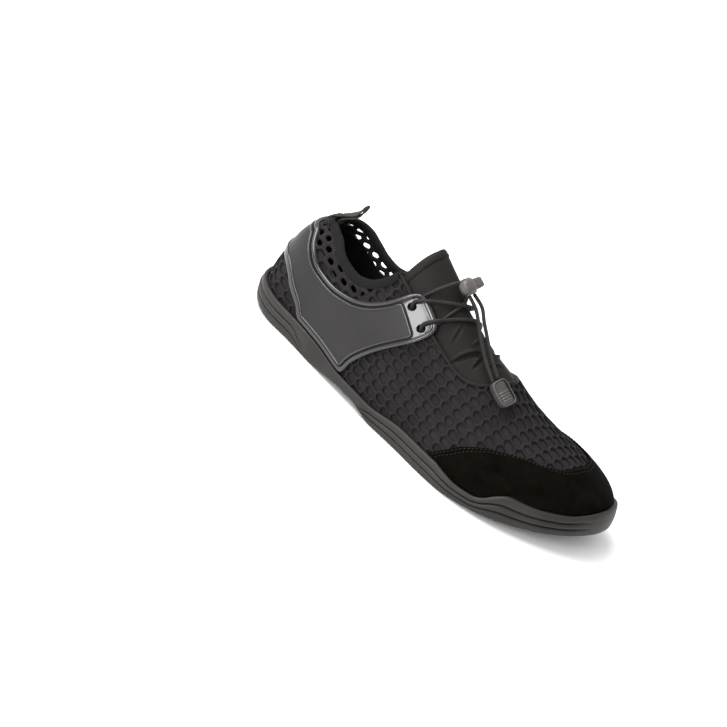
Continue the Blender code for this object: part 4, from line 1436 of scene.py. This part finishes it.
def cage_outline(chart):
    """The cage's edge on its chart, with the share of the raised bead as a third column."""
    shares = close_at_start(260) * CAGE_END
    bead = 1 - TAB_BEAD["drop"] * ease(shares, *TAB_BEAD["over"])
    front_bead = FRONT_BEAD["size"] * ease(shares, *FRONT_BEAD["over"])
    top, low = [], []
    for side in SIDES:
        bottom = np.maximum(by_side(CAGE_LOW, shares, side), rand_top(shares, side) + GAP)
        run = chart.flat(shares, side)
        top.append(np.stack([run, by_side(CAGE_HIGH, shares, side), bead], -1))
        low.append(np.stack([run, bottom, front_bead], -1))
    edge = np.vstack([top[0][::-1], top[1][1:], low[1][::-1], low[0][1:]])
    return loop_evened(edge, CAGE_STEP, 5)


def add_rings(shape, chart, loop, rings, bead=None):
    """Edge of a moulded panel, as rings from its outline inwards; gives back the last ring."""
    rows = []
    last = loop
    for ring in rings:
        last = inset_loop(loop, ring[0])
        off = ring[1] if bead is None else ring[1] + (ring[2] - ring[1]) * bead
        rows.append(chart.points(last, off))
    rows = np.array(rows)
    shape.add(rows, grid(len(rows), len(loop), ring=True))
    return last


def eyelet_loop(chart, share, height, side, radius):
    """Round hole on the cage's chart."""
    turn = np.linspace(0, 2 * math.pi, 20, endpoint=False)
    middle = np.array([float(chart.flat(share, side)), height])
    probe = chart.points(middle + np.array([[0.0, 0.0], [1.0, 0.0], [0.0, 1.0]]), PROBE_OFF)
    wide = np.linalg.norm(probe[1] - probe[0])
    tall = np.linalg.norm(probe[2] - probe[0])
    return middle + np.stack([np.cos(turn) * radius / wide, np.sin(turn) * radius / tall], -1)


def make_cage(finish):
    """Moulded cage: a skin with a raised bead along its edges and two holes in each tab."""
    chart = CageChart()
    outline_loop = cage_outline(chart)
    loop, bead = outline_loop[:, :2], outline_loop[:, 2]
    shape = Shape()
    inner = add_rings(shape, chart, loop, CAGE_RINGS, bead)
    _, plain_off, bead_off = CAGE_RINGS[-1]
    eyelets = []
    for side in SIDES:
        for share, height in zip(EYELETS["share"], EYELETS["height"]):
            sizes = [EYELET_RADIUS + grow for grow, _ in EYELET_RINGS]
            eyelets.append([eyelet_loop(chart, share, height, side, radius) for radius in sizes])
    spots, faces = fill_loop(inner, [rings[0] for rings in eyelets])
    near = np.argmin(np.linalg.norm(spots[:, None] - inner[None], axis=2), axis=1)
    on_edge = np.linalg.norm(spots - inner[near], axis=1) < ON_EDGE
    off = np.where(on_edge, (plain_off + (bead_off - plain_off) * bead)[near], plain_off)
    shape.add(chart.points(spots, off), faces)
    for rings in eyelets:
        rows = np.array([chart.points(ring, lift) for ring, (_, lift) in zip(rings, EYELET_RINGS)])
        shape.add(rows, grid(len(rows), rows.shape[1], ring=True))
    spots, faces = fill_loop(loop, [rings[-1] for rings in eyelets])
    shape.add(chart.points(spots, CAGE_BACK), [face[::-1] for face in faces])
    return hand_over(shape.make("cage_skin", finish, weld=0.02, flat_over=55), "cage_plastic", "cage")


def clipped(loop, chart):
    """Closed line cut off at the tab line on both sides."""
    for side in SIDES:
        start = abs(float(chart.flat(TAB_LINE["share"], side)))

        def over(place):
            if place[0] * side < 0:
                return TAB_LINE["other_side"]
            return place[1] - TAB_LINE["height"] - TAB_LINE["slope"] * (abs(place[0]) - start)

        kept = []
        for here, after in zip(loop, np.roll(loop, -1, 0)):
            high, next_high = over(here), over(after)
            if high <= 0:
                kept.append(here)
            if (high <= 0) != (next_high <= 0):
                kept.append(here + (after - here) * high / (high - next_high))
        loop = np.array(kept)
    return loop


def make_cage_panel(finishes):
    """Matte panel set into the cage, with a glossy raised edge and round it a dark strip of painted shade
    where a groove would lie in shadow.
    """
    chart = CageChart()
    edge = inset_loop(cage_outline(chart)[:, :2], PANEL_INSET)
    loop = loop_evened(clipped(edge, chart), CAGE_STEP, 2)
    panel = Shape()
    inner = add_rings(panel, chart, loop, PANEL_RINGS)
    spots, faces = fill_loop(inner)
    panel.add(chart.points(spots, PANEL_RINGS[-1][1]), faces)
    spots, faces = fill_loop(loop)
    panel.add(chart.points(spots, PANEL_RINGS[0][1]), [face[::-1] for face in faces])
    # The groove shape is a dark strip laid on the cage skin: painted shade, not a cut
    rim, groove = Shape(), Shape()
    add_rings(rim, chart, loop, EDGE_RINGS)
    add_rings(groove, chart, loop, SHADE_STRIP_RINGS)
    parts = (("cage_panel", panel, "panel"), ("panel_edge", rim, "cage"), ("panel_shade_strip", groove, "groove"))
    for name, shape, finish in parts:
        hand_over(shape.make(name, finishes[finish], weld=0.02, flat_over=55), "cage_plastic")


# Toe cap

CAP_STITCH_ROWS = (1.9, 4.6)
CAP_WAVE_REACH = 0.35
CAP_LIFT = 0.7
CAP_TIP_RANGE = (0.93, 1.0)
CAP_TURN = {"edge": 0.25, "full": 0.85, "reach": 1.3}
CAP_DENT = {"depth": 0.35, "width": 0.45}
CAP_THREAD_OFF = 1.0
CAP_CLOTH = 80.0
CAP_EDGE_STEPS = [0.0, 0.35, 0.8, 1.3, 1.6, 1.9, 2.2, 2.6, 3.2, 3.9, 4.3, 4.6, 4.9, 5.4, 6.2]


def rand_rise(share, side):
    """Rise on the wall just above the rand."""
    return rise_at(share, rand_top(share, side) + CAP_LIFT)


def cap_tip():
    """Share at which the cap's top line meets the rand."""
    low, high = CAP_TIP_RANGE
    for _ in range(30):
        tip = (low + high) / 2
        top = max(float(rand_top(tip, side)) for side in SIDES)
        above = float(section(tip)["ridge"]) - top - CAP_LIFT > 0
        low, high = (tip, high) if above else (low, tip)
    return low


def cap_place(climb, side, ahead, off):
    """Point of the cap, in millimetres ahead of its seam; the wave of the outer rand dies out up the side."""
    share = read(CAP_SEAM, "share", climb) + ahead / LENGTH
    even = rand_rise(share, MEDIAL)
    wave = (rand_rise(share, side) - even) * max(0.0, 1 - climb / CAP_WAVE_REACH)
    return wall(share, side, even + (1 - even) * climb + wave, off)


def make_toe_cap(finish):
    """Suede toe cap with a turned edge and a dent along each row of stitches."""
    tip = cap_tip()
    front, back, cloth = [], [], []
    for climb, side in out_and_back(close_at_last(40)):
        whole = (tip - float(read(CAP_SEAM, "share", climb))) * LENGTH
        far = CAP_EDGE_STEPS[-1] + (whole - CAP_EDGE_STEPS[-1]) * close_at_last(34)[1:]
        ahead = np.concatenate([CAP_EDGE_STEPS, far])
        off = CAP_STAND_OFF + CAP_TURN["edge"] + CAP_TURN["full"] * ease(ahead, 0.0, CAP_TURN["reach"])
        for row in CAP_STITCH_ROWS:
            off = off - CAP_DENT["depth"] * np.exp(-((ahead - row) / CAP_DENT["width"]) ** 2)
        front.append(cap_place(climb, side, ahead, off))
        back.append(cap_place(climb, side, ahead, CAP_STAND_OFF))
        cloth.append(np.stack([ahead, np.full_like(ahead, side * climb * CAP_CLOTH)], -1))
    shape = Shape().add_slab(np.array(front), np.array(back), np.array(cloth))
    return hand_over(shape.make("toe_cap_suede", finish, weld=0.02, flat_over=60), "cap_suede", "toe_cap")


def cap_stitch_lines():
    """Both rows of stitches along the cap's seam."""
    places = out_and_back(np.linspace(0.02, 1.0, 60))
    off = CAP_STAND_OFF + CAP_THREAD_OFF
    return [np.array([cap_place(climb, side, row, off) for climb, side in places]) for row in CAP_STITCH_ROWS]


# Tongue

TONGUE_BULGE, TONGUE_BULGE_ENDS = 1.7, (0.46, 0.22)
TONGUE_FULL = 4.0
FULL_SPOT = {"shares": (0.50, 0.42), "spread": 0.17, "width": 0.15}
TONGUE_GIRTH = 69.0
TONGUE_CLOTH = 80.0
FOLD_BEND = 0.006
FOLD_RIDGE = {"ahead": 1.4, "width": 0.7, "height": 1.7}
HEM = {"part": 0.985, "pad": 0.5, "stitch": 3.6, "thread_off": 0.05}
TONGUE_FOLDS = table("share spread turn length width depth", [
    (0.5160, -0.270, 106.0, 4.5, 1.2, 0.5),
    (0.5660, -0.275, 61.0, 9.5, 1.2, 1.3),
    (0.5900, -0.225, 95.0, 5.0, 1.1, 1.1),
    (0.6200, -0.120, 70.0, 7.0, 1.3, 0.6),
    (0.5620, -0.080, 84.0, 7.0, 1.3, 0.7),
    (0.5450, 0.230, -68.0, 9.0, 1.5, 0.8),
    (0.5900, 0.160, -80.0, 9.0, 1.4, 0.8),
])


def tongue_off(share, spread):
    """Stand-off of the tongue's face: full in the middle, with troughs and ridges at listed places."""
    off = -(WALL + TONGUE_SINK) + TONGUE_BULGE * ease(np.abs(spread), *TONGUE_BULGE_ENDS)
    spot = np.exp(-((spread - FULL_SPOT["spread"]) / FULL_SPOT["width"]) ** 2)
    off = off + TONGUE_FULL * ease(share, *FULL_SPOT["shares"]) * spot
    for row in range(len(TONGUE_FOLDS["share"])):
        fold = {name: column[row] for name, column in TONGUE_FOLDS.items()}
        ahead = (share - fold["share"]) * LENGTH
        aside = (spread - fold["spread"]) * TONGUE_GIRTH
        turn = math.radians(fold["turn"])
        along = ahead * math.cos(turn) + aside * math.sin(turn)
        cross = aside * math.cos(turn) - ahead * math.sin(turn) + FOLD_BEND * along ** 2
        fade = np.exp(-(along / fold["length"]) ** 4)
        trough = np.exp(-(cross / fold["width"]) ** 2)
        beside = (cross - FOLD_RIDGE["ahead"] * fold["width"]) / (FOLD_RIDGE["width"] * fold["width"])
        off = off + fade * fold["depth"] * (FOLD_RIDGE["height"] * np.exp(-beside ** 2) - trough)
    return off


def tongue_top(part):
    """Share of the tongue's free top edge at a part of its width."""
    return TONGUE_TOP - TONGUE_TOP_DROP * np.abs(part) ** 1.5


def tongue_spread(part, share):
    """Spread on the throat for a part of the tongue's width."""
    return part * (1 - read(TONGUE_SIDE, "rise", share))


def make_tongue(finish):
    """Stretch tongue under the throat, wrinkled below the lace."""
    part = np.linspace(-1, 1, 121)[None, :]
    step = np.linspace(0, 1, 200)[:, None]
    share = tongue_top(part) + (TONGUE_END - tongue_top(part)) * step
    spread = tongue_spread(part, share)
    off = tongue_off(share, spread)
    cloth = np.stack([share * LENGTH, spread * TONGUE_CLOTH], -1)
    shape = Shape().add_slab(across(share, spread, off), across(share, spread, off - TONGUE_THICK), cloth)
    return hand_over(shape.make("tongue_body", finish, flat_over=60), "stretch_fabric", "tongue")


def make_tongue_binding(finish):
    """Folded binding on the tongue's free top edge; gives back its stitch line."""
    part = np.linspace(-HEM["part"], HEM["part"], 70)
    share = tongue_top(part)
    spread = tongue_spread(part, share)
    off = tongue_off(share, spread) - TONGUE_THICK / 2
    path = across(share, spread, off)
    out = across(share, spread, off + 1.0) - path
    up = unit(np.cross(unit(np.gradient(path, axis=0)), out))
    up *= np.sign(-up[:, :1])
    half = TONGUE_THICK / 2 + HEM["pad"]
    front = [(-5.0, half - 0.3), (-4.5, half), (-0.5, half), (0.6, half * 0.6)]
    profile = front + [(0.9, 0.0)] + [(way, -lift) for way, lift in front[::-1]]
    shape = Shape().add_band(path, up, out, profile)
    hand_over(shape.make("tongue_binding", finish, flat_over=60), "stretch_fabric")
    return path - up * HEM["stitch"] + out * (half + HEM["thread_off"])


# Heel loop

LOOP_ARC = table("ahead above", [
    (0.4, 3.2),
    (4.6, 6.7),
    (10.0, 11.3),
    (12.4, 14.6),
    (13.4, 17.8),
    (14.5, 18.2),
    (14.8, 17.0),
    (13.8, 13.4),
    (11.4, 9.8),
    (6.2, 5.2),
    (3.2, 1.6),
])
LOOP_FOOT = table("height lift", [
    (70.0, 0.0),
    (72.5, 0.0),
    (74.6, 0.2),
])
LOOP_BACK_FOOT = table("height lift", [
    (74.0, 0.6),
    (70.5, 0.0),
    (66.0, 0.0),
])
LOOP_OFF = {"outside": 0.6, "inside": 0.3}
LOOP_TWIST = {"turn": 18.0, "over": (3.0, 15.0), "toward": (-0.7, 0.0, 0.7)}
LOOP_EDGE = {"thinner": 0.6, "power": 6}
LOOP_STEPS, LOOP_COLUMNS = 70, 13
LOOP_THREAD_OFF = 1.15


def make_pull_loop(finish):
    """Folded webbing loop that straddles the collar at the heel; gives back its stitch lines."""
    def at(height, off):
        return wall(0.0, MEDIAL, rise_at(0.0, height), off)

    top = at(COLLAR["medial"][0], -WALL / 2)
    outside = GAP + LOOP_THICK / 2 + LOOP_OFF["outside"]
    inside = -(WALL + outside + LOOP_OFF["inside"])
    route = [at(height, outside + lift) for height, lift in zip(*LOOP_FOOT.values())]
    route += [top + [ahead, 0, above] for ahead, above in zip(*LOOP_ARC.values())]
    route += [at(height, inside - lift) for height, lift in zip(*LOOP_BACK_FOOT.values())]
    path = smooth_path(route, LOOP_STEPS)
    turn = math.radians(LOOP_TWIST["turn"]) * ease(path[:, 2] - top[2], *LOOP_TWIST["over"])[:, None]
    wide = np.cos(turn) * np.array([0.0, 1.0, 0.0]) + np.sin(turn) * np.array(LOOP_TWIST["toward"])
    out = np.cross(unit(np.gradient(path, axis=0)), wide)
    reach = LOOP_WIDTH * np.linspace(-0.5, 0.5, LOOP_COLUMNS)
    bow = np.stack([reach ** 2 / (2 * HEEL_RADIUS), 0 * reach, 0 * reach], -1)
    from_middle = np.abs(reach) / (LOOP_WIDTH / 2)
    thin = LOOP_THICK / 2 * (1 - LOOP_EDGE["thinner"] * from_middle ** LOOP_EDGE["power"])
    middle = path[:, None] + bow[None] + wide[:, None] * reach[None, :, None]
    thick = out[:, None] * thin[None, :, None]
    run = np.linspace(0, length_of(path), LOOP_STEPS)
    cloth = np.stack(np.broadcast_arrays(run[:, None], reach[None, :]), -1)
    shape = Shape().add_slab(middle + thick, middle - thick, cloth)
    hand_over(shape.make("pull_loop_webbing", finish, flat_over=60), "loop_webbing", "pull_loop")
    face = middle + thick * LOOP_THREAD_OFF
    return [face[2:14, 2], face[2:14, 10], face[13, 2:11], face[2, 2:11]]


# Lace, cord lock and end clip

LACE_RISE = {"spread": 0.26, "width": 0.10}
LACE_IN = 0.035
HOLE_OFF = 1.4
EDGE_SPREAD, EDGE_REACH = 0.425, 0.02
CROSS_START, CROSS_AHEAD, CROSS_OFF = 0.4625, 0.012, -1.6
LOCK_RUN = table("share spread off fullness", [
    (0.3950, 0.445, -1.4, 0.0),
    (0.4000, 0.390, -0.4, 0.0),
    (0.4075, 0.335, 0.6, 0.0),
    (0.4200, 0.230, 2.4, 0.7),
    (0.4300, 0.130, 5.2, 0.3),
    (0.4350, 0.075, 6.4, 0.0),
    (0.4410, 0.045, 6.9, 0.0),
])


def lace_run(start, end, lift, edge_lifts, bow):
    """Route over the tongue between two places given as share and spread, bowed toward the toe."""
    route = []
    for step in np.linspace(0, 1, 13):
        share = start[0] + (end[0] - start[0]) * step + bow * math.sin(math.pi * step)
        spread = start[1] + (end[1] - start[1]) * step
        edge = np.clip((abs(spread) - LACE_RISE["spread"]) / LACE_RISE["width"], 0, 1)
        rest = float(tongue_off(share, spread)) + LACE_RADIUS + lift
        edge_lift = edge_lifts[0] if spread < 0 else edge_lifts[1]
        route.append(across(share, spread, rest + (edge_lift - rest) * edge))
    return route


def make_lace(finish):
    """Elastic lace: bars through the eyelets, a crossing under the tabs and the two runs up to the lock."""
    holes = []
    for share, height in zip(EYELETS["share"], EYELETS["height"]):
        holes.append((share, 1 - float(rise_at(share, height))))
    (top, top_hole), (low, low_hole) = holes
    cross_end = top + CROSS_AHEAD
    under = EDGE_SPREAD + EDGE_REACH

    def into_hole(share, spread):
        return [across(share, spread, HOLE_OFF), across(share, spread, -HOLE_OFF)]

    on_tabs = (TAB_LIFT, TAB_LIFT)
    upper_bar = lace_run(
        (top, LACE_IN - top_hole), (low, low_hole - LACE_IN), lift=1.6, edge_lifts=on_tabs, bow=0.065)
    lower_bar = lace_run(
        (low, LACE_IN - low_hole), (0.512, 0.400), lift=0.3, edge_lifts=(TAB_LIFT, -0.6), bow=0.038)
    crossing = lace_run(
        (CROSS_START, -EDGE_SPREAD), (cross_end, EDGE_SPREAD), lift=0.0, edge_lifts=(-1.0, -1.0), bow=0.036)
    lower_end = [across(0.513, 0.425, -1.2), across(0.514, 0.450, -1.7)]
    cross_ends = [across(CROSS_START, -under, CROSS_OFF), across(cross_end, under, CROSS_OFF)]
    routes = [
        into_hole(top, -top_hole)[::-1] + upper_bar + into_hole(low, low_hole),
        into_hole(low, -low_hole)[::-1] + lower_bar + lower_end,
        cross_ends[:1] + crossing + cross_ends[1:],
    ]
    for side in SIDES:
        full = TONGUE_FULL if side > 0 else 0.0
        route = []
        for share, spread, off, part in zip(*LOCK_RUN.values()):
            route.append(across(share, side * spread, off + part * full))
        routes.append(route)
    shape = Shape()
    for route in routes:
        shape.add_cord(smooth_path(route, 90), LACE_RADIUS)
    return hand_over(shape.make("elastic_lace", finish), "lace_cord", "lace")


TAIL_ROUTES = {
    "outer": table("share spread off", [
        (0.4690, -0.045, 6.8),
        (0.4980, -0.055, 6.6),
        (0.5220, -0.095, 6.0),
        (0.5500, -0.150, 5.4),
        (0.5760, -0.190, 5.0),
        (0.6020, -0.225, 4.6),
        (0.6425, -0.268, 4.3),
    ]),
    "inner": table("share spread off", [
        (0.4690, 0.045, 6.8),
        (0.5000, 0.045, 7.0),
        (0.5280, -0.040, 6.4),
        (0.5520, -0.085, 5.8),
        (0.5740, -0.125, 5.3),
        (0.6020, -0.170, 4.8),
        (0.6425, -0.222, 4.3),
    ]),
}


def make_tails(finish):
    """The two free ends of the lace, from the lock to the end clip."""
    for word, route in TAIL_ROUTES.items():
        path = smooth_path([across(*place) for place in zip(*route.values())], 36)
        tail = Shape().add_cord(path, LACE_RADIUS).make(f"lace_end_{word}", finish)
        hand_over(tail, "lace_cord", f"lace_tail_{word}")


def rounded_ring(half_wide, half_tall, power, count):
    """Rounded rectangle in its own plane."""
    turn = np.linspace(0, 2 * math.pi, count, endpoint=False)
    wide = half_wide * np.sign(np.cos(turn)) * np.abs(np.cos(turn)) ** power
    tall = half_tall * np.sign(np.sin(turn)) * np.abs(np.sin(turn)) ** power
    return np.stack([wide, tall], -1)


def add_lofted(shape, origin, along, wide, tall, rows, power, count=28):
    """Body lofted along a line from rows of (way along, half width, half height)."""
    rings = []
    for way, half_wide, half_tall in rows:
        ring = rounded_ring(half_wide, half_tall, power, count)
        rings.append(origin + along * way + ring[:, :1] * wide + ring[:, 1:] * tall)
    return shape.add_tube(np.array(rings))


LOCK_PLACE = {"share": 0.450, "spread": 0.0, "off": 7.0}
BARREL = {"half_long": 6.5, "half_wide": 5.5, "half_tall": 4.5, "round": 0.55, "least": 0.3, "power": 0.85}
BUTTON = {"start": 4.6, "end": 13.2, "half_wide": 3.5, "half_tall": 3.0, "lift": 1.0, "power": 0.45}
BUTTON_RIB = {"start": 6.4, "pitch": 2.2, "depth": 0.13, "over": (0.2, 0.9)}
BUTTON_NOSE = {"depth": 0.35, "over": (12.4, 13.4)}
MOUTH = {"ahead": 4.9, "aside": 2.6, "radius": 1.75, "bead": 0.45}


def make_cord_lock(finish):
    """Sprung lock: a round barrel, cord mouths on both faces and a ribbed square button."""
    origin, ahead, aside, up = frame_on(**LOCK_PLACE)
    shape = Shape()
    barrel = []
    for turn in np.linspace(-0.5 * math.pi, 0.5 * math.pi, 17):
        left = math.cos(turn) ** BARREL["round"]
        wide, tall = (max(BARREL[size] * left, BARREL["least"]) for size in ("half_wide", "half_tall"))
        barrel.append((BARREL["half_long"] * math.sin(turn), wide, tall))
    add_lofted(shape, origin, aside, ahead, up, barrel, BARREL["power"])
    button = []
    for way in np.linspace(BUTTON["start"], BUTTON["end"], 26):
        wave = math.cos((way - BUTTON_RIB["start"]) / BUTTON_RIB["pitch"] * 2 * math.pi)
        groove = 1 - BUTTON_RIB["depth"] * ease(wave, *BUTTON_RIB["over"])
        nose = 1 - BUTTON_NOSE["depth"] * float(ease(way, *BUTTON_NOSE["over"]))
        button.append((way, BUTTON["half_wide"] * groove * nose, BUTTON["half_tall"] * groove * nose))
    add_lofted(shape, origin + up * BUTTON["lift"], aside, ahead, up, button, BUTTON["power"])
    ring = rounded_ring(MOUTH["radius"], MOUTH["radius"], 1.0, 20)
    for face in (-1, 1):
        for hand in (-1, 1):
            mouth = origin + ahead * face * MOUTH["ahead"] + aside * hand * MOUTH["aside"]
            path = mouth + ring[:, :1] * aside + ring[:, 1:] * up
            shape.add_cord(np.vstack([path, path[:2]]), MOUTH["bead"], 6)
    return hand_over(shape.make("cord_lock_body", finish, flat_over=50), "lock_plastic", "cord_lock")


CLIP_PLACE = {"share": 0.679, "spread": -0.245, "off": 4.3}
CLIP = {"start": -8.3, "end": 8.0, "half_wide": 4.5, "half_tall": 2.3, "power": 0.5}
CLIP_RIB = {"height": 0.55, "pitch": 1.8, "shift": 0.2, "grows": (-1.5, -0.5), "fades": (6.4, 7.0)}
CLIP_NOSE = {"start": 6.8, "length": 1.7, "least": 0.04}
CLIP_RIM = {"half_long": 8.2, "half_wide": 5.4, "power": 0.42}
CLIP_RIM_PROFILE = [
    (-2.6, -0.55), (-2.6, 0.25), (-1.8, 0.55), (1.8, 0.55), (2.6, 0.25), (2.8, -0.2), (2.6, -0.55),
]


def make_end_clip(finish):
    """Flat clip on the two free ends: a ribbed body inside a raised rim."""
    origin, ahead, aside, up = frame_on(**CLIP_PLACE)
    shape = Shape()
    rows = []
    for way in np.linspace(CLIP["start"], CLIP["end"], 60):
        ribbed = float(ease(way, *CLIP_RIB["grows"]) - ease(way, *CLIP_RIB["fades"]))
        wave = 0.5 + 0.5 * math.cos((way + CLIP_RIB["shift"]) / CLIP_RIB["pitch"] * 2 * math.pi)
        past = np.clip((abs(way) - CLIP_NOSE["start"]) / CLIP_NOSE["length"], 0, 1)
        nose = float(np.sqrt(np.clip(1 - past ** 2, CLIP_NOSE["least"], 1)))
        tall = CLIP["half_tall"] + CLIP_RIB["height"] * ribbed * wave
        rows.append((way, CLIP["half_wide"] * nose, tall * nose))
    add_lofted(shape, origin, ahead, aside, up, rows, CLIP["power"], 32)
    ring = rounded_ring(CLIP_RIM["half_long"], CLIP_RIM["half_wide"], CLIP_RIM["power"], 56)
    rim = origin + ring[:, :1] * ahead + ring[:, 1:] * aside
    outward = unit(ring)
    outward = outward[:, :1] * ahead + outward[:, 1:] * aside
    shape.add_band(rim, np.repeat(up[None], len(rim), 0), outward, CLIP_RIM_PROFILE, closed=True)
    return hand_over(shape.make("end_clip_body", finish, flat_over=50), "clip_plastic", "cord_end")


# Stitches

STITCH = {"Spacing": 2.6, "Stitch length": 1.9, "Thread thickness": 0.55}
LOOP_STITCH = {"Spacing": 2.0, "Stitch length": 1.5, "Thread thickness": 0.45}


def stitch_tree():
    """Geometry Nodes tree that lays short thread stitches along lines."""
    tree = bpy.data.node_groups.new("stitch_row", "GeometryNodeTree")
    sockets = tree.interface
    sockets.new_socket("Lines", in_out="INPUT", socket_type="NodeSocketGeometry")
    for name, size in STITCH.items():
        sockets.new_socket(name, in_out="INPUT", socket_type="NodeSocketFloat").default_value = size * MM
    sockets.new_socket("Thread", in_out="INPUT", socket_type="NodeSocketMaterial")
    sockets.new_socket("Stitches", in_out="OUTPUT", socket_type="NodeSocketGeometry")

    def node(kind, **inputs):
        made = tree.nodes.new(kind)
        for label, value in inputs.items():
            if isinstance(value, bpy.types.NodeSocket):
                tree.links.new(value, made.inputs[label])
            else:
                made.inputs[label].default_value = value
        return made

    given = node("NodeGroupInput").outputs
    line = node("GeometryNodeMeshToCurve", Mesh=given["Lines"])
    spaced = node("GeometryNodeResampleCurve", Curve=line.outputs["Curve"])
    spaced.mode = "LENGTH"
    tree.links.new(given["Spacing"], spaced.inputs["Length"])
    bead = node("GeometryNodeMeshUVSphere", Segments=6, Rings=5, Radius=0.5)
    thick = given["Thread thickness"]
    size = node("ShaderNodeCombineXYZ", X=thick, Y=thick, Z=given["Stitch length"])
    thread = node("GeometryNodeTransform", Geometry=bead.outputs["Mesh"], Scale=size.outputs["Vector"])
    tangent = node("GeometryNodeInputTangent")
    turn = node("FunctionNodeAlignRotationToVector", Vector=tangent.outputs["Tangent"])
    turn.axis = "Z"
    laid = node(
        "GeometryNodeInstanceOnPoints", Points=spaced.outputs["Curve"], Instance=thread.outputs["Geometry"],
        Rotation=turn.outputs["Rotation"],
    )
    real = node("GeometryNodeRealizeInstances", Geometry=laid.outputs["Instances"])
    smooth = node("GeometryNodeSetShadeSmooth", Geometry=real.outputs["Geometry"])
    done = node("GeometryNodeSetMaterial", Geometry=smooth.outputs["Geometry"], Material=given["Thread"])
    result = tree.nodes.new("NodeGroupOutput")
    tree.links.new(done.outputs["Geometry"], result.inputs["Stitches"])
    return tree


def make_stitches(name, slot, tree, lines, thread, sizes=STITCH):
    """Rows of stitches along lines given in millimetres, as one plain mesh."""
    points, edges = [], []
    for line in lines:
        base = len(points)
        points += placed(line).tolist()
        edges += [(base + step, base + step + 1) for step in range(len(line) - 1)]
    mesh = bpy.data.meshes.new(name)
    mesh.from_pydata(points, edges, [])
    piece = new_piece(name, mesh, thread)
    rows = piece.modifiers.new("stitch_row", "NODES")
    rows.node_group = tree
    values = {label: size * MM for label, size in sizes.items()}
    values["Thread"] = thread
    for item in tree.interface.items_tree:
        if item.in_out == "INPUT" and item.name in values:
            rows[item.identifier] = values[item.name]
    finish_mesh(piece)
    return hand_over(piece, slot)


# Putting the shoe together

def main():
    """Every piece of the shoe, in its studio."""
    set_camera()
    set_studio()
    make_floor()
    finishes = make_finishes()
    clip = make_end_clip(finishes["clip"])
    lock = make_cord_lock(finishes["lock"])
    make_tails(finishes["braid"])
    make_lace(finishes["braid"])
    make_sole(finishes["rubber"])
    make_insole(finishes["insole"])
    make_net(finishes["yarn"])
    make_lining(finishes)
    make_bindings(finishes)
    make_heel_tape(finishes["tape"])
    make_cage(finishes["cage"])
    make_cage_panel(finishes)
    make_toe_cap(finishes["suede"])
    make_tongue(finishes["stretch"])
    tongue_line = make_tongue_binding(finishes["stretch"])
    loop_lines = make_pull_loop(finishes["webbing"])
    tree = stitch_tree()
    make_stitches("cap_stitches", "cap_suede", tree, cap_stitch_lines(), finishes["thread"])
    make_stitches("tongue_stitches", "stretch_fabric", tree, [tongue_line], finishes["thread"])
    make_stitches("loop_stitches", "loop_webbing", tree, loop_lines, finishes["thread"], LOOP_STITCH)


main()
